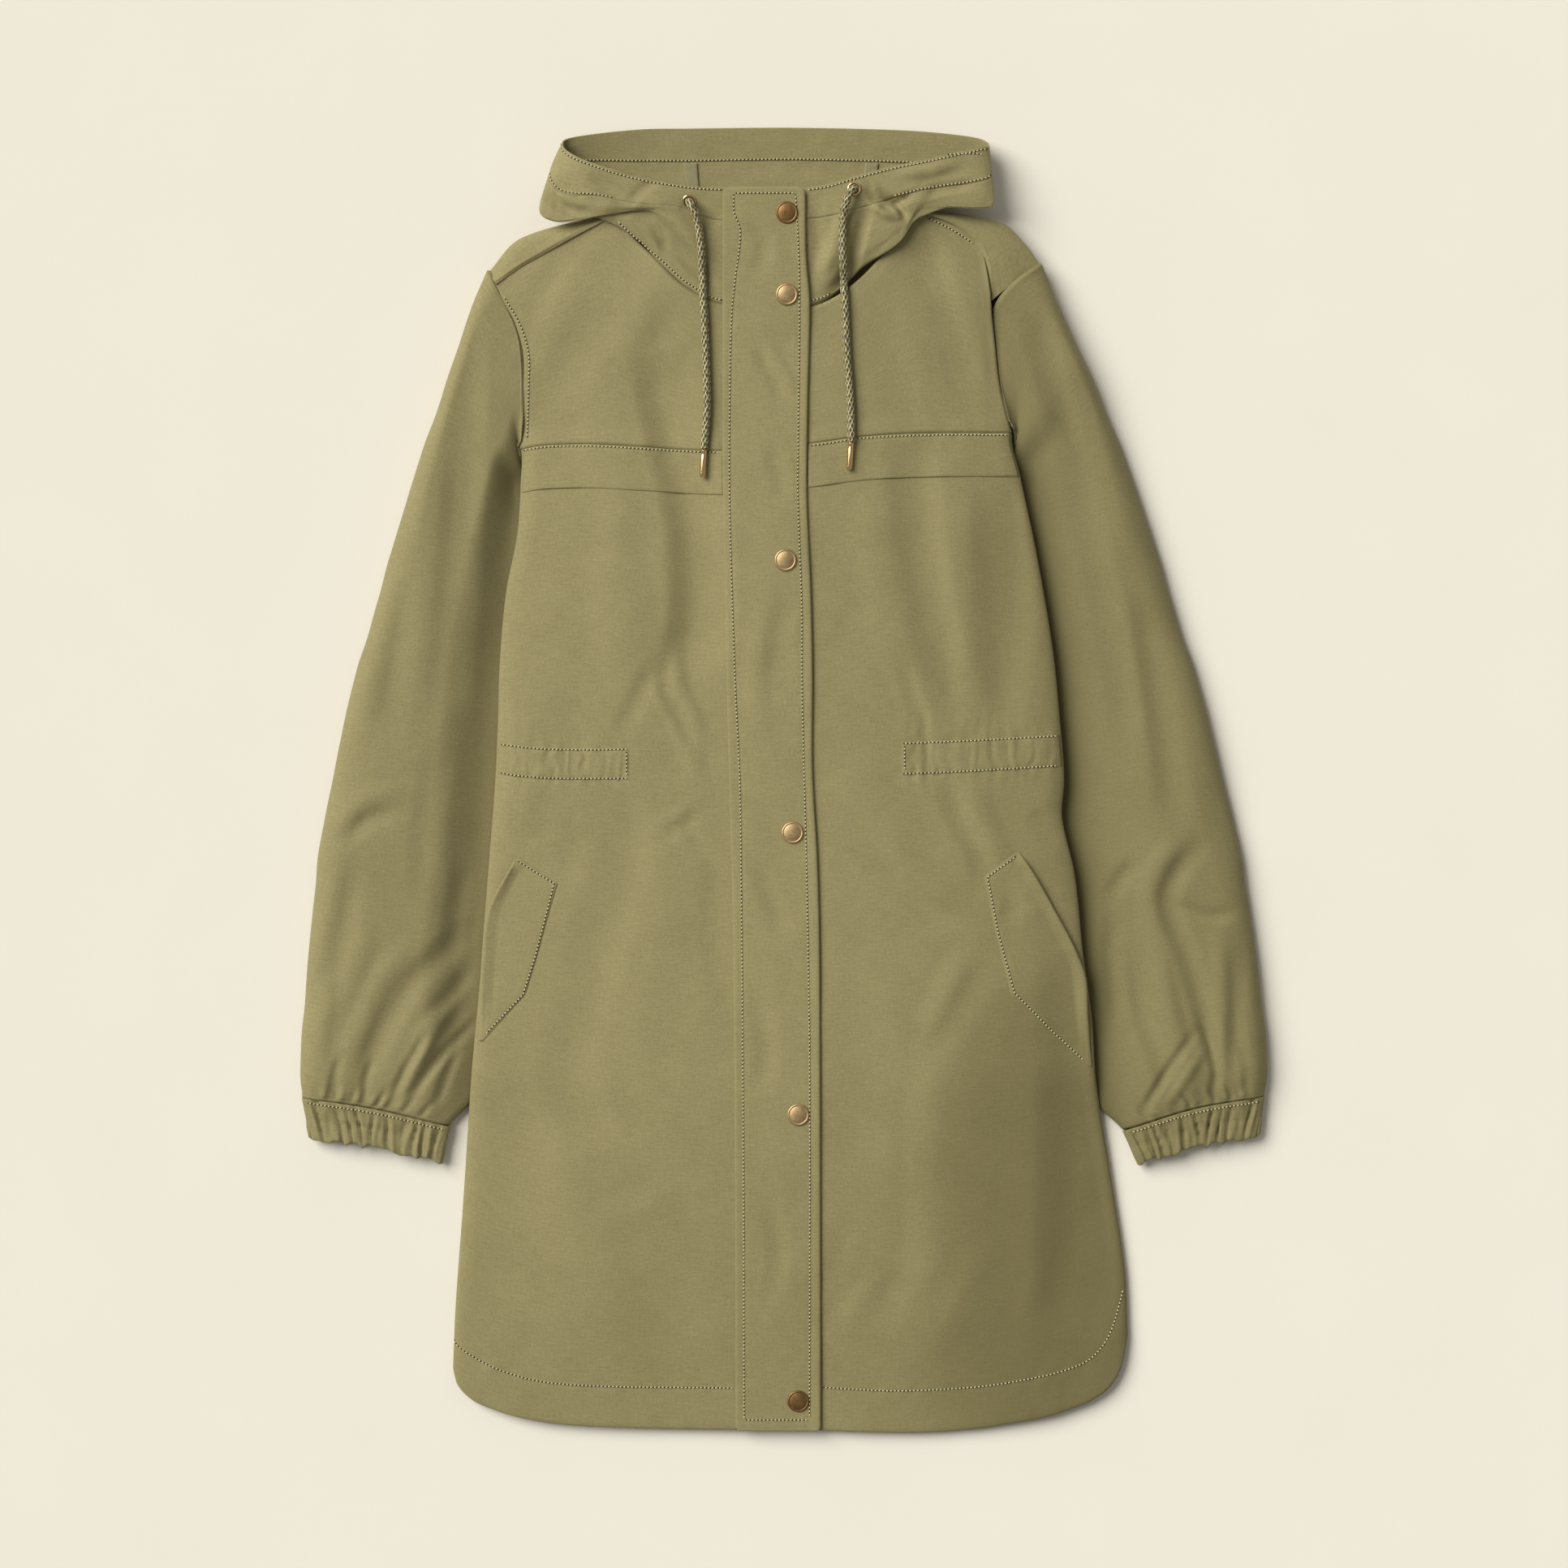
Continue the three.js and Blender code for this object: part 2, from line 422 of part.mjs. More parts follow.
// The hood lies collapsed behind the neck with its mouth open upwards. Stations go round it from the left of
// the front opening, past the left fold, along the back and round to the right. Each runs from the mouth,
// past the seam of the band, over the fold that hangs over the neck and back under it, to the neck seam.
const HOOD = [
  [[-6.3, 413, 34.4], [-6.3, 392, 33.4], [-6.3, 372, 32.2], [-6.3, 351, 31], [-6.3, 331.6, 30]],
  [[-44, 415, 34.6], [-46, 392, 33.4], [-47, 372, 32], [-46, 352, 30.6], [-44, 334.3, 29.7]],
  [[-66, 415.5, 36], [-74, 401, 36.6], [-77, 392, 34], [-72, 372, 29.8], [-67, 345.2, 29]],
  [[-104, 422, 36.5], [-98, 403, 36.5], [-96, 399, 33.5], [-94, 396, 29.4], [-84, 359.6, 27.6]],
  [[-132, 431, 34.5], [-128, 408, 34.5], [-126, 396, 32], [-118, 397, 28.4], [-98.5, 375, 26.5]],
  [[-149, 439, 30], [-157, 412, 31], [-162, 394, 29.5], [-150, 399, 27.6], [-111.5, 390.6, 26]],
  [[-156, 447, 20], [-165, 426, 21.5], [-173, 400, 25], [-158, 405, 23], backNeck(0.255)],
  [[-149, 453.5, 10], [-155, 436, 6.5], [-150, 418, 4.5], [-128, 411, 3.5], backNeck(0.31)],
  [[-104, 459.5, 5], [-104, 437, 1], [-90, 418, 0.3], [-80, 406, 0.3], backNeck(0.36)],
  [[-64, 460.4, 4], [-64, 437, 0.6], [-62, 418, 0.3], [-56, 402, 0.3], backNeck(0.41)],
  [[0, 461, 4], [0, 438, 0.6], [0, 418, 0.3], [0, 398, 0.3], backNeck(0.5)],
  [[60, 460, 4], [60, 437, 0.6], [57, 418, 0.3], [50, 402, 0.3], backNeck(0.59)],
  [[100, 458, 5], [98, 436, 1], [84, 419, 0.3], [70, 408, 0.3], backNeck(0.64)],
  [[136, 453, 10], [138, 438, 6.5], [132, 422, 4.5], [108, 414, 3.5], backNeck(0.69)],
  [[144.5, 446, 20], [146, 428, 21.5], [146, 405, 25], [130, 409, 23], backNeck(0.745)],
  [[136, 443.5, 28], [140, 420, 30], [138, 401, 30.5], [122, 405, 29], [87.5, 395.2, 28.8]],
  [[106, 436, 33], [104, 414, 34.5], [101, 401, 32.6], [94, 402, 30], [75.5, 380.4, 28.6]],
  [[74, 429, 35], [78, 409, 36.5], [82, 391, 33.5], [76, 388, 30.4], [62.5, 364, 28.6]],
  [[48, 422, 36], [56, 401, 36.5], [62, 378, 34.5], [54, 370, 31], [48.5, 350.4, 29]],
  [[26, 416, 34.8], [27, 394, 34.2], [28, 372, 32.8], [27, 352, 31.2], [25, 335.6, 29.8]],
  [[-5.7, 413, 34.4], [-5.7, 392, 33.4], [-5.7, 372, 32.2], [-5.7, 351, 31], [-5.7, 331.6, 30]],
].map(pointsThrough);
const CENTRE_FROM = 8.95; // stations where the centre panel of the hood meets its two sides
const CENTRE_TO = 11.05;
const hoodSurface = (s, r) => pointsThrough(HOOD.map((station) => station(r)))(s);

function hood() {
  const steps = (from, to, n) => spaced(n).map((t) => mix(from, to, t));
  const gap = 0.008;
  const below = 1.03; // just under the seam of the band
  const side = [below, 1.5, 1.85, 2.2, 2.6, 3, 4];
  const inside = { lift: -CLOTH - ON_TOP, thick: 1 };
  const tape = (name, at) =>
    wall(name, hoodSurface, steps(at - 0.1, at + 0.1, 2), [1.1, 1.6, 2.2, 2.9], inside);
  return [
    wall("hood_band", hoodSurface, steps(0, 20, 40), [0, 0.5, 1]),
    wall("hood_side_left", hoodSurface, steps(0, CENTRE_FROM - gap, 18), side),
    wall("hood_centre", hoodSurface, steps(CENTRE_FROM, CENTRE_TO, 5), [below, 2, 3, 4]),
    wall("hood_side_right", hoodSurface, steps(CENTRE_TO + gap, 20, 18), side),
    tape("hood_tape_left", CENTRE_FROM),
    tape("hood_tape_right", CENTRE_TO),
  ];
}

// ---- trims ----

// A solid turned about Z from its half section of [radius, height] pairs, set down with its foot at a point.
function turned(name, section, foot, axis, look, around = 16) {
  const points = section.map(([r, z]) => new THREE.Vector2(r, z));
  const geometry = new THREE.LatheGeometry([...points, points[0]], around);
  geometry.rotateX(Math.PI / 2);
  const up = new THREE.Vector3(0, 0, 1);
  geometry.applyQuaternion(new THREE.Quaternion().setFromUnitVectors(up, axis.normalize()));
  geometry.translate(...foot);
  return named(name, geometry, look);
}

const SNAPS = [[2, 397], [2, 340], [1, 154], [6, -37], [10, -235], [10, -438]];

function snaps() {
  const section = [[0, 0], [SNAP_R, 0], [SNAP_R, 0.9], [SNAP_R * 0.9, 1.5], [SNAP_R * 0.55, 2.1],
    [0, SNAP_TALL]];
  return SNAPS.map(([x, y], i) => {
    const n = normalAt((u, v) => [u, v, placketHeight(u, v)], x, y, [[-999, 999], [-999, 999]]);
    const out = CLOTH + ON_TOP + SEAM + 0.1;
    const foot = [x + n.x * out, y + n.y * out, placketHeight(x, y) + n.z * out];
    return turned(`snap_${i + 1}`, section, foot, n, ANTIQUE_BRASS);
  });
}

// Each drawcord comes up through its eyelet, bends over and lies down on the front, and ends in an aglet.
const LEFT_CORD = [[-65.6, 402.6, 41.4], [-62.5, 397, 42], [-60, 388, 39], [-58, 372, 35], [-57, 350, 33.9],
  [-56.6, 338, 34.2], [-55.5, 318, 33.7], [-54.5, 290, 33.5], [-54, 262, 33.4], [-56, 231.6, 34.6]];
const RIGHT_CORD = [[47, 411.6, 42.2], [44.4, 406, 43.2], [42, 398, 42.2], [41, 385, 39.4], [41, 372, 37.8],
  [41.6, 358, 35.8], [42.2, 342, 34.4], [43.2, 322, 33.8], [44.2, 298, 33.7], [46.2, 270, 33.6],
  [47, 252, 33.6], [47, 236.6, 34.8]];
const EYELETS = [[1.82, 0.62], [18.09, 0.38]]; // station and row on the hood

function cords() {
  const ring = [[EYELET_HOLE_R, 0], [EYELET_R, 0], [EYELET_R - 0.3, 0.8], [EYELET_R - 0.9, EYELET_TALL],
    [EYELET_HOLE_R + 0.3, EYELET_TALL - 0.2]];
  const tip = [[0, 0], [AGLET_R, 0], [AGLET_R, AGLET_LONG - 1], [AGLET_R - 0.7, AGLET_LONG], [0, AGLET_LONG]];
  const section = new THREE.Shape().absarc(0, 0, CORD_R, 0, 2 * Math.PI);
  return [["left", LEFT_CORD, EYELETS[0]], ["right", RIGHT_CORD, EYELETS[1]]].flatMap(([side, route, at]) => {
    const n = normalAt(hoodSurface, at[0], at[1], [[0, 20], [0, 4]]);
    const above = (out) => new THREE.Vector3(...hoodSurface(...at)).addScaledVector(n, out);
    const points = [above(1), above(2.6), ...route.map((p) => new THREE.Vector3(...p))];
    const path = new THREE.CatmullRomCurve3(points, false, "centripetal");
    const cord = new THREE.ExtrudeGeometry(section, { steps: 36, curveSegments: 4, extrudePath: path,
      bevelEnabled: false });
    const end = points[points.length - 1];
    const dip = new THREE.Vector3(-1.4, -AGLET_LONG, -1).normalize();
    const foot = above(SEAM + 0.15).toArray();
    const start = end.clone().addScaledVector(dip, 2 * SEAM).toArray();
    return [
      turned(`eyelet_${side}`, ring, foot, n, BRIGHT_BRASS, 18),
      named(`drawcord_${side}`, cord, SAGE),
      turned(`aglet_${side}`, tip, start, dip, BRIGHT_BRASS, 12),
    ];
  });
}

const parka = new THREE.Group();
parka.add(backPanel(), ...fronts(), ...yokes(), ...stormFlaps(), placket(), ...waistCasings(), ...pockets(),
  ...sleeves(), ...hood(), ...snaps(), ...cords());

export default parka;
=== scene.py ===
"""A hooded parka laid on its back, with cloth, stitching, snaps and drawcords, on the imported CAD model."""
import math

import bpy
import numpy as np
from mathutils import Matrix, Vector


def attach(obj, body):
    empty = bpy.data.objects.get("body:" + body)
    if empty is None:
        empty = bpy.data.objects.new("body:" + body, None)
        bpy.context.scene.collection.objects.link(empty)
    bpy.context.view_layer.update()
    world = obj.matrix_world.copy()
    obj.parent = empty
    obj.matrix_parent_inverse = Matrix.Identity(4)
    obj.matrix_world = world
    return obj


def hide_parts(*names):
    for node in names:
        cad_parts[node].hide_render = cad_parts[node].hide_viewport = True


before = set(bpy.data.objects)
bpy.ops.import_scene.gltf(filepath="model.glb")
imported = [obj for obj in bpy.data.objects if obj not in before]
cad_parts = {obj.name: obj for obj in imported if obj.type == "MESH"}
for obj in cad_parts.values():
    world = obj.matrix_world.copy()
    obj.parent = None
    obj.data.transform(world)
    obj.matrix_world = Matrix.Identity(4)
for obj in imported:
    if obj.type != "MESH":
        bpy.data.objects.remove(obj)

bl_info = {
    "name": "Hooded parka",
    "version": (1, 0, 0),
    "blender": (4, 5, 0),
    "location": "View3D > Sidebar > Parka",
    "description": "Makes the cloth, stitching and trims of a hooded parka on its CAD frame",
    "category": "Add Mesh",
}

# Everything below is in millimetres until a mesh is made. X runs across the coat, +Y towards the hood, +Z up.
MM = 0.001

# ---- sizes that the CAD model has too ----

CLOTH = 1.2  # thickness of the cloth
SEAM = 0.3  # gap between two pieces at a seam
HEM_Y = -459
NECK_Y = 331
MOUTH_Y = 413
OPENING_X = -6
SLEEVE_UNDER = 6.6
BACK_ROLL = 16
FRONT_ROLL = 14
FRONT_TURN = 4
SNAP_R = 7.7
EYELET_R = 5
EYELET_HOLE_R = 3.3
CORD_R = 2.75
AGLET_R = 2.1
AGLET_LONG = 19
FLAP_DEEP = 31


# ---- sizes of this model alone ----

FLAP_THICK, FLAP_OVER = 0.6, 0.72
POCKET_THICK, POCKET_OVER, MOUTH_LIFT = 0.5, 0.75, 2.3
CASING_THICK, CASING_OVER = 0.3, 0.36
PLACKET_THICK, PLACKET_OVER = 0.8, 1.0
TAPE_THICK = 0.6
SLEEVE_LONG = 600
CUFF_LONG = 30
LOWEST = 0.02  # nothing of the coat goes nearer to the surface
CAMERA_LENS, CAMERA_SENSOR = 100, 36
CAMERA_Y, COAT_MIDDLE_Z = -0.0029, 0.025  # in metres
LIGHT_FROM = (-0.76, 0.5, 0.82)
FLOOR_HALF = 15000
THREAD_SIDES = 6
CORD_SIDES, CORD_RINGS, CORD_CLEAR = 20, 330, 0.25
PATCH_TURNS = 12


# ---- curves ----

def curve(places, points):
    """A smooth function through points at rising places, level beyond its ends."""
    places, points = np.asarray(places, float), np.asarray(points, float)
    n = len(places)
    before, after = np.maximum(np.arange(n) - 1, 0), np.minimum(np.arange(n) + 1, n - 1)
    extra = (1,) * (points.ndim - 1)
    slope = (points[after] - points[before]) / (places[after] - places[before]).reshape(-1, *extra)

    def value(at):
        at = np.clip(np.asarray(at, float), places[0], places[-1])
        i = np.clip(np.searchsorted(places, at, side="right") - 1, 0, n - 2)
        w = (places[i + 1] - places[i]).reshape(at.shape + extra)
        t = (at - places[i]).reshape(at.shape + extra) / w
        a, b, rise = slope[i] * w, slope[i + 1] * w, points[i + 1] - points[i]
        return points[i] + t * (a + t * (3 * rise - 2 * a - b + t * (a + b - 2 * rise)))

    return value


def through(pairs):
    """The same through [place, value] pairs."""
    return curve(*zip(*pairs))


def straight(pairs):
    """A function through [place, value] pairs that is straight from one to the next."""
    places, values = zip(*pairs)
    return lambda at: np.interp(at, places, values)


def cornered(points, near=1.5):
    """A line's points with more just beside each one, so that its stretches stay straight and its corners sharp."""
    points = np.asarray(points, float)
    found = [points[0]]
    for a, b in zip(points[:-1], points[1:]):
        share = near / np.linalg.norm(b - a)
        found += [a + share * (b - a), b - share * (b - a), b]
    return found


def points_through(points):
    """The same through points at 0, 1, 2 and so on."""
    return curve(range(len(points)), points)


def between(values, at):
    """Through values[..., i, :], which differ from place to place, at each at."""
    n = values.shape[-2]
    at = np.clip(at, 0, n - 1)
    i = np.clip(np.floor(at).astype(int), 0, n - 2)

    def pick(j):
        return np.take_along_axis(values, np.clip(j, 0, n - 1)[..., None, None], axis=-2)[..., 0, :]

    t, p0, p1 = (at - i)[..., None], pick(i), pick(i + 1)
    a = (p1 - pick(i - 1)) / np.where(i > 0, 2, 1)[..., None]
    b = (pick(i + 2) - p0) / np.where(i < n - 2, 2, 1)[..., None]
    return p0 + t * (a + t * (3 * (p1 - p0) - 2 * a - b + t * (a + b - 2 * (p1 - p0))))


def mix(a, b, t):
    """From a at t = 0 to b at t = 1."""
    return a + (b - a) * t


def clamp(t):
    return np.clip(t, 0, 1)


def smooth(t):
    """From 0 to 1 with soft ends."""
    return clamp(t) ** 2 * (3 - 2 * clamp(t))


def steps(low, high, n):
    """From low to high in n even steps."""
    return np.linspace(low, high, int(n) + 1)


def noise(x, y, seed=0.0):
    """A smooth random height from -1 to 1 that is the same each time."""
    i, j = np.floor(x), np.floor(y)
    u, v = smooth(x - i), smooth(y - j)

    def corner(a, b):
        h = np.sin((i + a) * 127.1 + (j + b) * 311.7 + seed * 74.7) * 43758.5453
        return 2 * (h - np.floor(h)) - 1

    return mix(mix(corner(0, 0), corner(1, 0), u), mix(corner(0, 1), corner(1, 1), u), v)


# ---- the form of the body ----

LEFT_EDGE = through([
    [-416, -234], [-370, -232], [-302, -227], [-215, -221], [-138, -214], [-109, -212], [-65, -208.5],
    [0, -203.5], [44, -201.5], [80, -200.5], [131, -196], [173, -188], [210, -185.5], [233, -185.5],
    [270, -198], [310, -214], [350, -228]])
RIGHT_EDGE = through([
    [-393, 243], [-347, 241], [-279, 231], [-211, 220], [-168, 217], [-124, 211], [-67, 205], [-26, 196],
    [0, 197.5], [36, 195], [92, 189.5], [160, 178], [214, 166.5], [244, 160.5], [270, 172], [310, 185],
    [350, 200]])
SIDE_HEIGHT = through([[-300, 5], [-240, 7], [-200, 13], [233, 14.5], [300, 15]])
CROWN = through([[HEM_Y, 9], [-430, 11], [-330, 19], [-200, 25], [0, 25], [150, 29], [NECK_Y, 30],
                 [MOUTH_Y, 34]])
CROWN_SQUARE = 2.6
NECK_DROP = 6
LEFT_SLEEVE_UNDER = through([[-214, -221], [-195, -207], [-135, -190], [-70, -175], [0, -163], [70, -153],
                             [140, -149], [190, -152], [230, -160]])
RIGHT_SLEEVE_UNDER = through([[-214, 222], [-190, 208], [-135, 183], [-70, 160], [0, 143], [70, 131],
                              [140, 125], [190, 128], [240, 140]])
LIFT_RUN = 36


def plain_front(x, y):
    """Outer face of the front of the body, without its folds."""
    edge = np.abs(np.where(x < 0, LEFT_EDGE(y), RIGHT_EDGE(y)))
    turn = clamp(1 - (edge - np.abs(x)) / FRONT_ROLL)
    side = SIDE_HEIGHT(y) + FRONT_TURN * np.sqrt(1 - turn ** 2)
    dome = (CROWN(y) - SIDE_HEIGHT(y) - FRONT_TURN) * (1 - clamp(np.abs(x) / edge) ** CROWN_SQUARE)
    return side + dome - NECK_DROP * smooth((np.abs(x) - 60) / 50) * smooth((y - NECK_Y) / 50)


def back_height(x, y):
    """Outer face of the back, which lies on the surface and rises over the sleeves."""
    edge = np.where(x < 0, LEFT_EDGE(y), RIGHT_EDGE(y))
    under = np.where(x < 0, LEFT_SLEEVE_UNDER(y), RIGHT_SLEEVE_UNDER(y))
    near = smooth((np.abs(x) - np.abs(under) + LIFT_RUN) / LIFT_RUN)
    beside = smooth((y + 262) / 46) * smooth((256 - y) / 30)
    lifted = (SLEEVE_UNDER + 1.7) * near * beside
    turn = clamp(1 - (np.abs(edge) - np.abs(x)) / BACK_ROLL)
    return lifted + (SIDE_HEIGHT(y) - 1.5 * SEAM - lifted) * (1 - np.sqrt(1 - turn ** 2))


# ---- outlines of the front ----

LEFT_HEM = through([[-234, -416], [-231, -427], [-220, -438], [-207, -444], [-188, -450], [-159, -455],
                    [-100, -458], [-40, HEM_Y]])
RIGHT_HEM = through([[-40, HEM_Y], [20, -459.5], [90, -461], [129, -459], [158, -455], [185, -450],
                     [204, -444], [218, -438], [231, -428], [239, -413], [243, -393]])
LEFT_YOKE_SEAM = through([[-185, 233], [-168, 235.5], [-138, 236], [-100, 234], [-44, 231], [0, 230]])
RIGHT_YOKE_SEAM = through([[-6, 234], [17, 236], [54, 241], [94, 243.5], [160, 244.5]])
LEFT_ARMHOLE = through([[233, -185.5], [275, -183], [301, -183.5], [321, -189], [336, -197], [349, -203]])
RIGHT_ARMHOLE = through([[244, 160], [275, 152], [307, 148], [331, 145.5], [345, 144.5]])
LEFT_YOKE_TOP = through([[-203, 349], [-186, 361], [-150, 381], [-118, 396], [-107, 381], [-96, 370],
                         [-75, 349], [-60, 339], [-42, 332], [0, NECK_Y - 1]])
RIGHT_YOKE_TOP = through([[-6, NECK_Y - 1], [20, NECK_Y], [35, 337], [48, 346], [60, 357], [72, 371],
                          [82, 384], [93, 399], [117, 390], [132, 381], [140, 370], [144.5, 341]])
PLACKET_LEFT = through([[-458, -34], [-250, -34.5], [-95, -36], [0, -38.5], [80, -40.5], [160, -42],
                        [230, -43], [321, -43], [MOUTH_Y, -43]])
PLACKET_RIGHT = through([[-455, 26], [-260, 25.5], [-122, 25], [-58, 23.5], [7, 20], [73, 20], [124, 19],
                         [200, 16], [260, 16.5], [335, 18], [367, 15.5], [MOUTH_Y, 15]])
PLACKET_TOP = MOUTH_Y + 2
LEFT_MOUTH = through([[-184, -214.5], [-109, -210.2], [-88, -206], [-55, -189]])
LEFT_SEWN = straight([[-184, -212], [-153, -184], [-148.5, -181], [-118, -172], [-86, -163], [-73, -159],
                      [-55, -186]])
RIGHT_MOUTH = through([[-202, 216.5], [-168, 214], [-131, 209.5], [-67, 176], [-51, 165.5]])
RIGHT_SEWN = straight([[-202, 216], [-151, 159.5], [-107, 148.5], [-68, 141], [-51, 163]])


def moved(f, d):
    """The function f with d added."""
    return lambda at: f(at) + d


def always(value):
    """A function with one value everywhere."""
    return lambda at: value + 0 * np.asarray(at, float)


def mirrored(us):
    """Shares across a piece, counted from its other side."""
    return 1 - us[::-1]


def patch(x0, x1, y0, y1, us, vs):
    """x and y over a four-sided outline, at each of us and vs, found by turns until they agree."""
    u, v = np.meshgrid(us, vs)
    x = mix(x0(0 * u), x1(0 * u), u)
    for _ in range(PATCH_TURNS):
        y = mix(y0(x), y1(x), v)
        x = mix(x0(y), x1(y), u)
    return x, y


# ---- folds ----

# Each fold is a height, its width to the left and to the right as one walks along it, and the line that it
# follows. A trough has a height below 0.
FRONT_FOLDS = [
    # left front
    (-5.6, 32, 22, [(-90, 300), (-78, 235), (-67, 195), (-63, 150), (-63, 108), (-72, 70)]),
    (-2.0, 7, 8, [(-86, 84), (-83, 62), (-73, 43), (-62, 22)]),
    (1.5, 7, 7, [(-76, 92), (-73, 66), (-64, 47), (-56, 30)]),
    (-0.8, 7, 8, [(-58, -22), (-71, -33), (-85, -40)]),
    (-0.9, 7, 8, [(-50, -54), (-61, -45), (-70, -28)]),
    (0.6, 7, 8, [(-64, -16), (-78, -26), (-90, -30)]),
    (1.4, 28, 25, [(-128, 270), (-122, 200), (-120, 150), (-112, 100), (-100, 60)]),
    (-1.3, 11, 10, [(-88, 84), (-97, 68), (-106, 50), (-117, 32)]),
    (1.4, 12, 11, [(-84, 82), (-84, 62), (-74, 40), (-66, 20), (-58, -8)]),
    (-0.9, 20, 15, [(-136, 202), (-132, 178), (-128, 150)]),
    (-1.9, 22, 31, [(-118, -10), (-110, -45), (-117, -79), (-126, -108), (-136, -148), (-146, -205),
                    (-128, -262)]),
    (1.0, 31, 25, [(-82, -20), (-78, -60), (-86, -110), (-98, -160), (-108, -215)]),
    (-0.9, 20, 15, [(-46, -55), (-47, -90), (-45, -130), (-42, -172)]),
    (-0.4, 17, 17, [(-126, -300), (-104, -286), (-80, -270)]),
    (0.4, 18, 17, [(-132, -318), (-106, -304), (-74, -286)]),
    (1.1, 32, 30, [(-176, -40), (-178, -5), (-170, 60), (-160, 140)]),
    (-0.6, 15, 17, [(-158, -80), (-150, -58), (-140, -28)]),
    (-0.5, 14, 14, [(-176, -48), (-170, -28), (-166, -6)]),
    (-1.0, 45, 36, [(-200, -230), (-192, -310), (-200, -380)]),
    (0.9, 48, 42, [(-150, -240), (-152, -310), (-140, -400)]),
    (-0.9, 48, 39, [(-86, -310), (-80, -370), (-86, -440)]),
    (-0.8, 38, 32, [(-160, 190), (-158, 120), (-164, 60)]),
    # right front
    (-3.0, 20, 25, [(90, 240), (94, 200), (99, 149), (108, 103), (120, 66), (130, 40)]),
    (1.3, 22, 18, [(122, 212), (124, 160), (128, 110), (132, 70), (138, 34)]),
    (1.1, 28, 20, [(62, 205), (68, 150), (78, 96), (98, 50), (108, 22)]),
    (-2.8, 22, 32, [(160, 215), (160, 160), (158, 110), (154, 70), (152, 30)]),
    (-1.5, 8, 10, [(84, 84), (90, 62), (97, 44), (100, 20), (104, 0)]),
    (-2.0, 12, 13, [(113, 4), (124, -28), (139, -56), (144, -84)]),
    (1.7, 13, 13, [(128, 0), (138, -22), (148, -44), (160, -58)]),
    (1.9, 17, 13, [(62, -36), (84, -56), (106, -76), (130, -92)]),
    (-1.4, 12, 14, [(60, -54), (84, -78), (104, -94), (124, -106)]),
    (-1.1, 14, 14, [(146, -122), (130, -150), (114, -178), (102, -204)]),
    (1.0, 14, 14, [(128, -120), (114, -148), (98, -180)]),
    (2.9, 62, 29, [(140, -120), (122, -176), (112, -218), (110, -262), (110, -304), (108, -350), (84, -400)]),
    (-4.0, 84, 33, [(206, -120), (206, -190), (208, -273), (206, -330), (200, -392)]),
    (-1.2, 32, 44, [(148, -190), (142, -230), (140, -280), (146, -330), (150, -380)]),
    (-0.7, 13, 13, [(44, -306), (40, -334), (35, -362)]),
    (-0.7, 13, 13, [(62, -336), (46, -362), (26, -388)]),
    (-0.7, 16, 16, [(130, -326), (114, -354), (92, -388)]),
    (0.5, 14, 14, [(74, -330), (58, -360), (40, -386)]),
    (-1.1, 13, 13, [(176, -20), (186, -36), (196, -46)]),
    (-1.4, 11, 12, [(150, -64), (158, -84), (160, -104)]),
    (1.0, 11, 11, [(170, -66), (176, -86), (178, -100)]),
    (-0.8, 30, 30, [(40, 190), (38, 120), (44, 60)]),
    (-1.2, 31, 29, [(52, -150), (54, -220), (48, -280)]),
    # placket
    (-1.4, 10, 10, [(-20, 303), (-10, 286), (2, 268)]),
    (1.0, 7, 7, [(-14, 308), (-4, 290), (8, 272)]),
    (-1.0, 11, 10, [(-8, 236), (-4, 214), (4, 196)]),
    (-1.0, 13, 13, [(2, 130), (-4, 96), (-2, 66)]),
    (1.0, 12, 12, [(-16, 110), (-20, 70), (-16, 30)]),
    (-1.2, 11, 11, [(-18, -60), (-8, -84), (0, -110)]),
    (-1.0, 11, 11, [(-20, -150), (-12, -190), (-16, -220)]),
    (-1.0, 11, 11, [(-12, -290), (-4, -330), (-10, -370)]),
    (-1.2, 10, 10, [(-26, 392), (-14, 376), (-18, 352)]),
    # left yoke
    (-0.8, 20, 20, [(-100, 366), (-124, 330), (-152, 290), (-172, 250)]),
    (0.7, 18, 18, [(-82, 352), (-104, 318), (-126, 284), (-140, 250)]),
    (-0.7, 17, 18, [(-72, 340), (-86, 308), (-98, 274), (-104, 246)]),
    (0.7, 17, 17, [(-126, 384), (-146, 350), (-166, 312), (-176, 280)]),
    (-0.7, 14, 14, [(-150, 376), (-168, 346), (-180, 318)]),
    (-0.5, 12, 12, [(-180, 262), (-162, 250), (-148, 240)]),
    # right yoke
    (-0.8, 20, 18, [(58, 352), (66, 318), (76, 284), (82, 250)]),
    (0.7, 18, 18, [(76, 366), (88, 330), (100, 290), (106, 256)]),
    (-0.8, 16, 18, [(92, 384), (110, 344), (124, 300), (132, 258)]),
    (0.7, 13, 13, [(114, 384), (124, 344), (136, 300), (142, 262)]),
    (-1.2, 8, 8, [(139, 372), (142, 356), (143, 336), (145, 318)]),
]

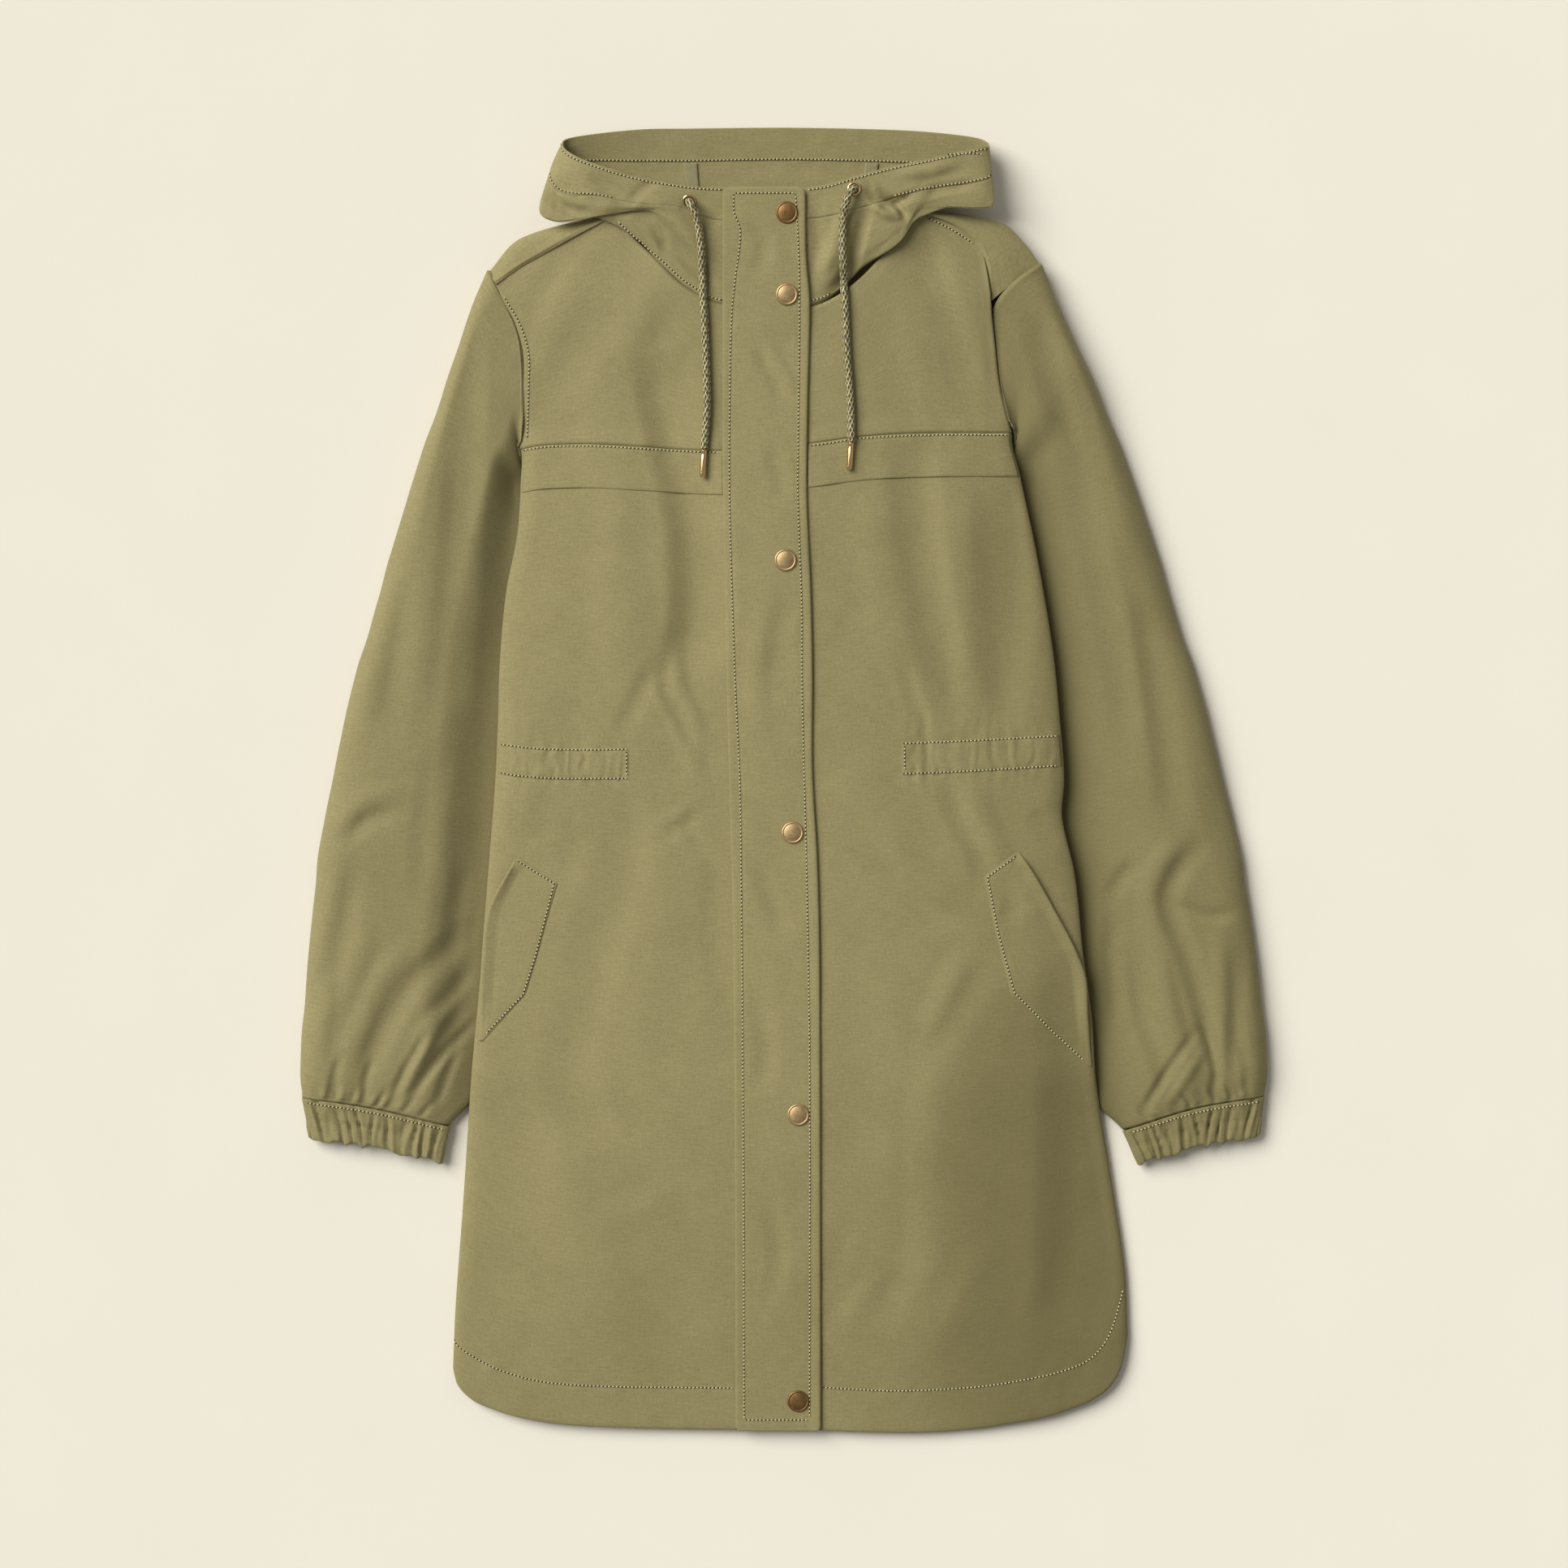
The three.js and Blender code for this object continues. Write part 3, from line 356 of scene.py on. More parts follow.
# Lines of stitches, and the grooves under them, each as a line and how strongly the cloth puckers along it.
HEM_STITCH_LEFT = [(-234, -392), (-231, -399), (-218, -408), (-198, -417.5), (-168, -425), (-117, -428),
                   (-35, -429)]
HEM_STITCH_RIGHT = [(27, -428.5), (76, -431), (133, -428.5), (168, -423.5), (200, -416), (217, -408),
                    (229, -393), (236, -374), (239.5, -360)]
PLACKET_STITCH_LEFT = [(-35, 410.4), (-35, 398), (-30.5, 384), (-34, 352), (-36.5, 327), (-38, 268), (-38, 193),
                       (-34, 63), (-31, 0), (-30, -68), (-28.5, -250), (-28, -451)]
PLACKET_STITCH_RIGHT = [(8.2, 410.4), (10.8, 353), (10, 238), (9.7, 200), (12.5, 120), (12.8, 63), (16, -68),
                        (18, -200), (18, -451)]
YOKE_STITCH_LEFT = [(-184, 231.4), (-168, 233.8), (-138, 234.2), (-100, 232.3), (-45, 229.4)]
YOKE_STITCH_RIGHT = [(18.5, 234.2), (28, 235.4), (54, 239.2), (94, 241.8), (158, 242.6)]
ARMHOLE_STITCH = [(-180.5, 240), (-179.5, 275), (-179.5, 300), (-185, 319), (-197, 340)]
SHOULDER_STITCH = [(101, 394.5), (118, 386.5), (133, 377)]
CASING_LEFT = [[(-200, 25), (-176, 22), (-138, 21), (-109, 21.5)], [(-200, 5), (-188, 3), (-159, 1), (-109, 1)],
               [(-110.5, 20.5), (-110.5, 2)]]
CASING_RIGHT = [[(83, 25.4), (130, 27.4), (193, 30.8)], [(83, 4.2), (130, 6.2), (193, 10)],
                [(84.8, 24.5), (84.8, 5.2)]]
POCKET_LEFT = cornered([(-187.5, -57), (-161.5, -73), (-174.8, -124), (-183.5, -151), (-211, -180)])
POCKET_RIGHT = cornered([(163.5, -53.5), (143.2, -68.5), (150.5, -107), (161.8, -149.5), (188, -176),
                         (213, -199)])
GROOVES = [
    (HEM_STITCH_LEFT, 1.0), (HEM_STITCH_RIGHT, 1.2), (PLACKET_STITCH_LEFT, 0.5), (PLACKET_STITCH_RIGHT, 0.5),
    (YOKE_STITCH_LEFT, 0.8), (YOKE_STITCH_RIGHT, 0.8), (CASING_LEFT[0], 1.0), (CASING_LEFT[1], 1.0),
    (CASING_RIGHT[0], 1.0), (CASING_RIGHT[1], 1.0), (POCKET_LEFT, 0.7), (POCKET_RIGHT, 0.7),
]


def fine_line(points, step=6.0):
    """A smooth line through points, as many short pieces, with how far along each point is."""
    points = np.asarray(points, float)
    long = np.linalg.norm(np.diff(points, axis=0), axis=1)
    at = np.concatenate([[0], np.cumsum(long)])
    if at[-1] < 1e-6:
        return points, at
    fine = curve(at, points)(steps(0, at[-1], max(4, at[-1] / step)))
    return fine, np.concatenate([[0], np.cumsum(np.linalg.norm(np.diff(fine, axis=0), axis=1))])


def beside(x, y, points, reach):
    """Where each (x, y) is beside a line: which are near it, how far off they are (right is above 0), and how
    far along the line."""
    line, at = fine_line(points)
    low, high = line.min(0) - reach, line.max(0) + reach
    near = (x > low[0]) & (x < high[0]) & (y > low[1]) & (y < high[1])
    px, py = x[near], y[near]
    off, along = np.full(px.shape, 1e9), np.zeros(px.shape)
    for i in range(len(line) - 1):
        (ax, ay), (bx, by) = line[i], line[i + 1]
        dx, dy = bx - ax, by - ay
        long = math.hypot(dx, dy)
        t = ((px - ax) * dx + (py - ay) * dy) / long ** 2
        held = clamp(t)
        gap = np.hypot(px - ax - held * dx, py - ay - held * dy)
        side = np.sign((px - ax) * dy - (py - ay) * dx)
        closer = gap < np.abs(off)
        off = np.where(closer, np.where(side < 0, -gap, gap), off)
        along = np.where(closer, at[i] + held * long, along)
    return near, off, along, at[-1]


def folds(x, y, table):
    """The height that a table of folds adds at each (x, y)."""
    height = np.zeros(x.shape)
    for deep, left, right, points in table:
        near, off, along, long = beside(x, y, points, max(left, right))
        if near.any():
            across = np.abs(off) / np.where(off < 0, left, right)
            run = min(0.4 * long, 42)
            taper = smooth((along + 0.25 * run) / run) * smooth((long - along + 0.25 * run) / run)
            height[near] += deep * np.where(across < 1, (1 - across ** 2) ** 2, 0) * taper
    return height


def grooves(x, y, table, deep=0.22, wide=2.6):
    """Shallow grooves along lines of stitches, with the small puckers that run out from them."""
    height = np.zeros(x.shape)
    for number, (points, pucker) in enumerate(table):
        near, off, along, _ = beside(x, y, points, 16)
        if near.any():
            across = np.abs(off)
            height[near] -= deep * np.where(across < wide, (1 - (across / wide) ** 2) ** 2, 0)
            wave = noise(along / 6.5 + 0.12 * off, 0 * along + 3.5, number)
            wave = wave + 0.6 * noise(along / 3.1, off / 9, number + 9)
            height[near] += 0.38 * pucker * wave * np.where(across < 14, (1 - across / 14) ** 2, 0)
    return height


def gathers(x, y, line, low, high, x0, x1, deep):
    """The fine gathers of an elastic casing between x0 and x1, about the line y = line(x), which fade over low
    below it and high above it."""
    inside = smooth((x - x0) / 10) * smooth((x1 - x) / 10)
    up = y - line(x)
    reach = np.where(up > 0, high, low) * (0.65 + 0.45 * noise(x / 11, 0 * x, 5))
    fades = np.where(np.abs(up) < 11, 1.0, smooth(1 - (np.abs(up) - 11) / np.maximum(reach, 4)))
    warped = x + 4.2 * noise(x / 16, y / 22, 2) + 2.6 * noise(x / 9, y / 8, 7)
    wave = np.cos(2 * math.pi * warped / 9.5) + 0.55 * np.cos(2 * math.pi * warped / 5.6 + 1.3)
    return deep * inside * fades * wave * (0.7 + 0.5 * noise(x / 14, y / 22, 11))


CASING_EDGES_LEFT = (through([[-203, 3], [-188, 1], [-159, -1], [-108, -1]]),
                     through([[-202, 27], [-176, 24], [-138, 23], [-108, 23.5]]))
CASING_EDGES_RIGHT = (through([[82, 2], [130, 4], [195, 8]]), through([[82, 27.5], [130, 29.5], [195, 33]]))
WAIST_LEFT = through([[-203, 15], [-176, 12.5], [-138, 11], [-108, 11]])
WAIST_RIGHT = through([[82, 15], [130, 17], [195, 20.5]])


def front_folds(x, y):
    """All that the folds, gathers and grooves add to the front."""
    ease = smooth((np.abs(np.where(x < 0, LEFT_EDGE(y), RIGHT_EDGE(y))) - np.abs(x)) / 12)
    deep = bpy.context.scene.parka.fold_depth
    height = deep * folds(x, y, FRONT_FOLDS)
    height += deep * (gathers(x, y, WAIST_LEFT, 24, 34, -206, -104, 0.32)
                      + gathers(x, y, WAIST_RIGHT, 26, 36, 80, 200, 0.36))
    height += deep * (1.1 * noise(x / 60, y / 95, 1) + 0.4 * noise(x / 26, y / 40, 2)
                      + 0.1 * noise(x / 10, y / 14, 3))
    neck = np.where(x < 0, LEFT_YOKE_TOP(x), RIGHT_YOKE_TOP(x))
    arm = np.where(x < 0, x - LEFT_ARMHOLE(y), RIGHT_ARMHOLE(y) - x)
    seams = smooth(np.abs(neck - y) / 14) * np.where(y > 225, smooth(np.abs(arm) / 12), 1)
    return height * (0.25 + 0.75 * ease) * seams + grooves(x, y, GROOVES)


def front(x, y):
    """Outer face of the front with its folds."""
    x, y = np.asarray(x, float), np.asarray(y, float)
    return plain_front(x, y) + front_folds(x, y)


def placket_front(x, y):
    """The front where the placket lies on it, which is thicker at the neck."""
    return front(x, y) + mix(0.4, 1.7, smooth((y - 300) / 50))


def falls(distance, run, drop):
    """How far a soft edge has dropped at a distance from it."""
    return drop * (1 - np.sqrt(1 - clamp(1 - distance / run) ** 2))


# ---- sleeves ----

# Each station has its line from the outer side of the sleeve to the inner one, the height of its top, of its
# two sides, of its top where the body covers it, and how far across that is.
LEFT_SLEEVE = [
    ([[-209.4, 359], [-198, 338], [-187.6, 314], [-184.6, 290], [-184.7, 262], [-186.8, 233.6]], 21.5, 12, 20, 1),
    ([[-221, 332], [-199, 296], [-185, 223]], 22, 10, 11.5, 1),
    ([[-236, 287], [-212, 262], [-180, 210]], 23, 6, 8, 0.96),
    ([[-251, 244], [-216, 228], [-180, 198]], 23, 4, 7, 0.85),
    ([[-270, 184], [-216, 178], [-160, 162]], 23, 4, SLEEVE_UNDER, 0.7),
    ([[-293, 109], [-223, 104], [-150, 96]], 23, 4, SLEEVE_UNDER, 0.65),
    ([[-313, 28], [-239, 22], [-162, 12]], 22, 4, SLEEVE_UNDER, 0.69),
    ([[-328, -51], [-254, -58], [-177, -68]], 22, 4, SLEEVE_UNDER, 0.75),
    ([[-337, -129], [-267, -137], [-192, -145]], 21, 4, SLEEVE_UNDER, 0.8),
    ([[-341, -196], [-279, -204], [-211, -212]], 19, 4, SLEEVE_UNDER, 0.93),
    ([[-340.5, -223.9], [-290, -231], [-236, -243.9]], 14, 6, 12, 1),
]
RIGHT_SLEEVE = [
    ([[182, 363.4], [161.7, 348.4], [148.7, 331], [149.2, 307], [153.3, 275], [162, 245]], 21.5, 12, 20, 1),
    ([[193, 337], [168, 302], [163.6, 233]], 22, 10, 11.5, 1),
    ([[209, 302], [188, 272], [157, 216]], 22, 6, 8, 0.96),
    ([[227, 262], [196, 240], [160, 202]], 18.5, 4, 7, 0.82),
    ([[250, 200], [194, 188], [136, 166]], 18.5, 4, SLEEVE_UNDER, 0.64),
    ([[276, 122], [203, 112], [127, 96]], 18.5, 4, SLEEVE_UNDER, 0.58),
    ([[300, 40], [223, 28], [142, 12]], 18.5, 4, SLEEVE_UNDER, 0.63),
    ([[322, -51], [243, -62], [162, -76]], 18.5, 4, SLEEVE_UNDER, 0.68),
    ([[335, -129], [262, -139], [186, -151]], 18.5, 4, SLEEVE_UNDER, 0.78),
    ([[341, -196], [277, -205], [211, -216]], 19, 4, SLEEVE_UNDER, 0.92),
    ([[339.5, -222.9], [290, -231], [239, -246.8]], 14, 6, 12, 1),
]
ROLL_SHARE = 0.14


def flat_tube(stations, u, v):
    """Points of a tube that lies flat through stations, how much each one is on its upper face, and how far
    across from its outer side."""
    last = len(stations) - 1
    shapes = points_through([s[1:] for s in stations])(v * last)
    top, side, low, covered = np.moveaxis(shapes, -1, 0)
    turn = u - np.floor(u)
    share = np.where(turn < 0.5, 2 * turn, 2 - 2 * turn)
    lines = np.stack([points_through(line)(share * (len(line) - 1)) for line, *_ in stations], axis=-2)
    flat = between(lines, v * last)
    full = np.sqrt(1 - (1 - clamp(np.minimum(share, 1 - share) / ROLL_SHARE)) ** 2)
    wide = mix(0.26, 0.4, smooth((flat[..., 0] + 50) / 100))
    over = mix(top, low, smooth((share - covered + wide - 0.03) / wide))
    fold = np.where(share < 0.5, side, np.minimum(side, low - 3))
    z = np.where(turn < 0.5, mix(fold, over, full), fold * (1 - full))
    return np.concatenate([flat, z[..., None]], axis=-1), np.where(turn < 0.5, full, 0), share


LEFT_SLEEVE_FOLDS = [
    (-2.8, 5, 6, [(-277, -228), (-268, -208), (-258, -190), (-250, -174)]),
    (-3.0, 5, 6, [(-265, -228), (-250, -204), (-234, -186), (-216, -168)]),
    (-2.2, 5, 6, [(-246, -232), (-238, -208), (-229, -186)]),
    (-2.0, 5, 5, [(-297, -226), (-294, -210), (-289, -196)]),
    (-2.0, 5, 5, [(-318, -224), (-316, -208), (-312, -194)]),
    (1.8, 5, 6, [(-272, -226), (-260, -202), (-246, -182)]),
    (-2.0, 8, 9, [(-222, -134), (-234, -150), (-250, -168)]),
    (-2.0, 16, 20, [(-222, 318), (-222, 250), (-226, 180), (-230, 110), (-236, 40)]),
    (1.6, 18, 16, [(-246, 240), (-250, 180), (-258, 110), (-266, 40)]),
    (-1.5, 18, 18, [(-266, 150), (-274, 80), (-282, 20)]),
    (-1.9, 9, 10, [(-312, -46), (-300, -34), (-290, -27), (-272, -24)]),
    (1.5, 11, 11, [(-314, -32), (-300, -18), (-286, -11), (-266, -10)]),
    (-1.9, 12, 13, [(-326, -158), (-316, -120), (-308, -90), (-302, -60)]),
    (1.4, 12, 12, [(-312, -168), (-300, -130), (-290, -96)]),
    (-2.4, 11, 13, [(-296, -216), (-288, -190), (-270, -154), (-252, -132), (-222, -104)]),
    (2.0, 12, 11, [(-310, -206), (-300, -178), (-284, -142), (-262, -116)]),
    (-2.2, 8, 10, [(-252, -206), (-240, -182), (-226, -158)]),
    (1.8, 9, 10, [(-264, -212), (-254, -184), (-238, -158)]),
    (-1.6, 15, 15, [(-240, 30), (-246, 0), (-252, -50), (-248, -90)]),
    (-1.4, 10, 10, [(-226, -60), (-232, -96), (-236, -128)]),
    (-1.3, 13, 13, [(-232, 312), (-240, 280), (-252, 240)]),
    (-1.3, 16, 16, [(-290, 60), (-302, 10), (-312, -20)]),
    (1.2, 10, 10, [(-330, -196), (-322, -160), (-318, -130)]),
]
RIGHT_SLEEVE_FOLDS = [
    (-2.6, 5, 6, [(252, -236), (262, -218), (276, -196), (290, -176)]),
    (-2.4, 5, 6, [(300, -228), (304, -208), (300, -186), (292, -166)]),
    (-2.0, 5, 5, [(324, -224), (326, -204), (322, -184)]),
    (1.6, 5, 6, [(268, -232), (282, -210), (296, -188)]),
    (-2.2, 6, 7, [(272, -84), (286, -92), (304, -96), (318, -92)]),
    (-2.2, 13, 16, [(176, 330), (190, 280), (206, 220), (222, 150), (234, 90), (244, 20)]),
    (1.6, 15, 15, [(198, 312), (216, 262), (232, 206), (246, 150)]),
    (-2.2, 16, 15, [(252, 130), (262, 70), (270, 10), (272, -30)]),
    (1.6, 16, 16, [(272, 150), (288, 90), (298, 30), (300, -20)]),
    (-2.8, 10, 11, [(296, -44), (280, -62), (271, -84), (284, -122), (296, -164), (304, -206)]),
    (2.2, 11, 11, [(282, -38), (262, -62), (256, -86), (268, -126)]),
    (-2.2, 9, 9, [(250, -58), (238, -70), (230, -84)]),
    (-2.6, 10, 11, [(246, -124), (252, -154), (260, -184), (274, -226)]),
    (2.0, 10, 11, [(262, -120), (270, -154), (278, -184), (290, -222)]),
    (-2.2, 10, 11, [(320, -112), (320, -160), (316, -216)]),
    (1.6, 9, 10, [(306, -106), (308, -150), (308, -200)]),
    (-1.5, 13, 13, [(290, 30), (300, -10), (312, -50)]),
    (-1.4, 13, 13, [(262, 190), (272, 140), (282, 90)]),
    (-2.0, 10, 10, [(232, -90), (232, -130), (236, -176)]),
]

# ---- back and hood ----

# Creases of the back, given as the folds of the front are.
BACK_FOLDS = [
    (1.6, 14, 14, [(-60, 300), (-84, 180), (-70, 60), (-96, -60)]),
    (1.4, 14, 14, [(50, 300), (70, 180), (58, 60), (84, -80)]),
    (1.2, 16, 16, [(-6, 120), (4, -40), (-10, -200)]),
    (1.5, 12, 12, [(-150, 20), (-90, 8), (-30, 16), (40, 6), (120, 18)]),
    (1.3, 16, 18, [(-110, -160), (-128, -260), (-120, -380)]),
    (1.3, 16, 18, [(96, -150), (110, -260), (124, -370)]),
]
# Lines across the back, from the armholes over the shoulders to the seams on the front, each through points at
# these shares of the width.
ACROSS_BACK = [0, 0.1, 0.24, 0.32, 0.5, 0.68, 0.76, 0.87, 0.95, 1]
OVER_SHOULDERS = [
    [[-184.6, 262, 0], [-160, 262, 0], [-100, 262, 0], [-70, 262, 0], [-10, 262, 0], [50, 262, 0], [85, 262, 0],
     [120, 262, 0], [142, 262, 0], [154, 262, 0]],
    [[-182.9, 306, 0], [-160, 308, 0], [-105, 308, 0], [-75, 308, 0], [-10, 306, 0], [55, 308, 0], [85, 308, 0],
     [118, 308, 0], [137, 307, 0], [146, 306, 0]],
    [[-193, 333, 1.5], [-174, 349, 1.5], [-115, 356, 0.3], [-85, 352, 0.2], [0, 336, 0], [65, 352, 0.2],
     [92, 358, 0.3], [124, 356, 0.8], [140, 348, 1.2], [147, 334, 1.5]],
    [[-203.5, 350, 6], [-182, 375, 5], [-120, 386, 2], [-88, 380, 1], [0, 349, 0], [68, 383, 1], [94, 390, 2],
     [138, 384, 4.5], [158, 372, 5.5], [167, 353.5, 6]],
    [[-208, 358, 12], [-184, 382.5, 12], [-121, 396, 10], [-95, 388, 4], [0, 356, 0.3], [74, 391, 4],
     [96, 400, 10], [150, 393.5, 12], [170, 378, 12], [180.5, 362.5, 12]],
    [[-206, 354, 18], [-182, 378, 19], [-120, 398, 18], [-97, 391, 6.3], [0, 361, 0.6], [75.5, 394, 6.3],
     [95.5, 401.5, 20], [140, 389, 20.5], [158, 373, 19.5], [165, 352.5, 18]],
    [[-203.6, 350, 22], [-178, 366.5, 22], [-118.4, 397.4, 23.8], [-98, 392.5, 7.3], [0, 365, 1.2],
     [76.5, 395.5, 7.3], [93.6, 400.4, 27], [126, 387, 23.6], [142, 368.4, 22.4], [146, 337, 21.8]],
]
SHOULDER_CURVES = [curve(ACROSS_BACK, points) for points in OVER_SHOULDERS]


def back_neck(share):
    return list(SHOULDER_CURVES[6](share) + [0, 1.7, 0.3])


# Each station round the hood has five rows, from the edge of its mouth to the neck seam.
HOOD = np.array([
    [[-6.3, 413, 34.4], [-6.3, 392, 33.4], [-6.3, 372, 32.2], [-6.3, 351, 31], [-6.3, 331.6, 30]],
    [[-44, 415, 34.6], [-46, 392, 33.4], [-47, 372, 32], [-46, 352, 30.6], [-44, 334.3, 29.7]],
    [[-66, 415.5, 36], [-74, 401, 36.6], [-77, 392, 34], [-72, 372, 29.8], [-67, 345.2, 29]],
    [[-104, 422, 36.5], [-98, 403, 36.5], [-96, 399, 33.5], [-94, 396, 29.4], [-84, 359.6, 27.6]],
    [[-132, 431, 34.5], [-128, 408, 34.5], [-126, 396, 32], [-118, 397, 28.4], [-98.5, 375, 26.5]],
    [[-149, 439, 30], [-157, 412, 31], [-159, 391.5, 29.5], [-150, 399, 27.6], [-111.5, 390.6, 26]],
    [[-156, 447, 20], [-165, 426, 21.5], [-171.5, 401, 25], [-158, 405, 23], back_neck(0.255)],
    [[-149, 453.5, 10], [-155, 436, 6.5], [-150, 418, 4.5], [-128, 411, 3.5], back_neck(0.31)],
    [[-104, 459.5, 5], [-104, 437, 1], [-90, 418, 0.3], [-80, 406, 0.3], back_neck(0.36)],
    [[-64, 460.4, 4], [-64, 437, 0.6], [-62, 418, 0.3], [-56, 402, 0.3], back_neck(0.41)],
    [[0, 461, 4], [0, 438, 0.6], [0, 418, 0.3], [0, 398, 0.3], back_neck(0.5)],
    [[60, 460, 4], [60, 437, 0.6], [57, 418, 0.3], [50, 402, 0.3], back_neck(0.59)],
    [[100, 458, 5], [98, 436, 1], [84, 419, 0.3], [70, 408, 0.3], back_neck(0.64)],
    [[136, 453, 10], [138, 438, 6.5], [132, 422, 4.5], [108, 414, 3.5], back_neck(0.69)],
    [[144.5, 446, 20], [146, 428, 21.5], [146, 405, 25], [130, 409, 23], back_neck(0.745)],
    [[136, 443.5, 28], [140, 420, 30], [138, 401, 30.5], [122, 405, 29], [87.5, 395.2, 28.8]],
    [[106, 436, 33], [104, 414, 34.5], [100, 402, 33.4], [93, 397, 32], [76, 384, 28.6]],
    [[74, 429, 35], [79, 408, 36.8], [85, 391, 36.2], [79, 380, 33.4], [62, 368, 28.6]],
    [[48, 422, 36], [56, 401, 36.5], [62, 379, 35.6], [56, 367, 33], [47.5, 352, 29]],
    [[26, 416, 34.8], [27, 394, 34.2], [28, 372, 32.8], [27, 352, 31.2], [25, 335.6, 29.8]],
    [[-5.7, 413, 34.4], [-5.7, 392, 33.4], [-5.7, 372, 32.2], [-5.7, 351, 31], [-5.7, 331.6, 30]],
], float)
CENTRE_FROM, CENTRE_TO = 8.95, 11.05
HOOD_ROWS = points_through(HOOD.transpose(1, 0, 2))

# Soft bulges of the hood: station, row, how wide each way, and how far they push the cloth.
HOOD_BULGES = [
    (17.0, 3.2, 1.2, 0.5, np.array([2.0, -3.5, 1.5])),
    (15.6, 3.1, 0.8, 0.5, np.array([1.5, -1.5, 0.8])),
    (3.2, 3.2, 1.1, 0.5, np.array([-2.0, -4.0, 2.2])),
    (1.9, 2.2, 0.8, 0.6, np.array([0.0, -1.5, 2.0])),
    (18.6, 2.6, 0.7, 0.7, np.array([0.0, -1.0, 1.8])),
]
HOOD_FOLDS = [
    (5.0, 5, 7, [(-124, 431), (-106, 430), (-90, 424)]),
    (-3.4, 4, 6, [(64, 414), (73, 408), (82, 400), (88, 391)]),
    (-2.4, 6, 7, [(-166, 410), (-158, 402), (-146, 398), (-132, 398)]),
    (-2.2, 5, 6, [(-163, 424), (-152, 414), (-138, 406), (-124, 402)]),
    (-1.8, 5, 6, [(-104, 402), (-92, 396), (-84, 384), (-82, 368)]),
    (2.1, 9, 9, [(-56, 372), (-76, 392), (-98, 402)]),
    (-2.6, 7, 8, [(-50, 346), (-68, 366), (-86, 384)]),
    (-2.1, 7, 8, [(-46, 386), (-58, 396), (-74, 406)]),
    (-2.3, 8, 8, [(-108, 404), (-122, 414), (-138, 424)]),
    (2.0, 8, 8, [(-116, 399), (-134, 405), (-152, 410)]),
    (-2.1, 6, 7, [(-146, 398), (-156, 404), (-166, 414)]),
    (-1.6, 6, 6, [(-88, 420), (-100, 412), (-112, 400)]),
    (-4.8, 7, 7, [(34, 340), (46, 362), (54, 388), (58, 402)]),
    (2.6, 8, 8, [(26, 352), (36, 376), (42, 398)]),
    (-4.2, 4, 6, [(59, 418), (61, 410), (68, 405), (80, 406), (94, 412)]),
    (4.0, 6, 6, [(60, 404), (72, 396), (84, 396)]),
    (-2.8, 3, 4, [(66, 402), (73, 399), (81, 393)]),
    (-2.6, 3, 4, [(77, 408), (81, 401), (85, 392)]),
    (-1.2, 6, 8, [(86, 420), (100, 418), (116, 424), (132, 430)]),
    (1.4, 6, 6, [(78, 424), (98, 426), (118, 432)]),
    (-2.6, 6, 6, [(96, 410), (112, 414), (134, 418)]),
    (-1.6, 8, 8, [(22, 348), (24, 376), (22, 404)]),
]


# Rows of stitches on the hood: the piece, the stations that they run between, and where between the rows.
HOOD_STITCHES = [
    ("hood_band_cloth", 0.95, 6.6, 0.085),
    ("hood_band_cloth", 14.4, 19.4, 0.085),
    ("hood_band_cloth", 3.7, 6.2, 0.93),
    ("hood_band_cloth", 14.5, 17.1, 0.93),
    ("hood_band_cloth", 7.3, 13.2, 0.95),
    ("hood_side_left_cloth", 0.95, 5.0, 3.88),
    ("hood_side_right_cloth", 18.7, 19.3, 3.88),
]


def hood_at(s, r):
    """A point of the hood at station s and row r, with its folds."""
    s, r = np.broadcast_arrays(np.asarray(s, float), np.asarray(r, float))
    p = between(HOOD_ROWS(r), s)
    x, y = p[..., 0], p[..., 1]
    up = smooth((p[..., 2] - 18) / 10)
    soft = 0.45 * noise(s * 1.9, r * 1.3, 21) + 0.22 * noise(s * 4.2, r * 2.9, 22)
    pucker = 0.3 * noise(s * 7.5, 0 * r, 23) * np.exp(-((r - 1) / 0.22) ** 2)
    rise = up * folds(x, y, HOOD_FOLDS) + soft * smooth(r / 0.5) * smooth((4 - r) / 0.6) + pucker
    p = p.copy()
    p[..., 2] += np.where(up > 0, rise * up, np.abs(rise) * (1 - up))
    for at_s, at_r, wide_s, wide_r, shift in HOOD_BULGES:
        share = np.exp(-((s - at_s) / wide_s) ** 2 - ((r - at_r) / wide_r) ** 2) * smooth((4 - r) / 0.3)
        p = p + share[..., None] * shift
    return p


# ---- turned parts and cords ----

SNAPS = [(2, 397), (2, 340), (1, 154), (6, -37), (10, -235), (10, -438)]
LEFT_CORD = [[-65.6, 402.6, 41.4], [-62.5, 397, 42], [-60, 388, 39], [-58, 372, 35], [-57, 350, 33.9],
             [-56.6, 338, 34.2], [-55.5, 318, 33.7], [-54.5, 290, 33.5], [-54, 262, 33.4], [-56, 231.6, 34.6]]
RIGHT_CORD = [[47, 411.6, 42.2], [44.4, 406, 43.2], [42, 398, 42.2], [41, 385, 39.4], [41, 372, 37.8],
              [41.6, 358, 35.8], [42.2, 342, 34.4], [43.2, 322, 33.8], [44.2, 298, 33.7], [46.2, 270, 33.6],
              [47, 252, 33.6], [47, 236.6, 34.8]]
EYELETS = [(1.82, 0.62), (18.09, 0.38)]
CORD_DIP = np.array([-1.4, -AGLET_LONG, -1.0])

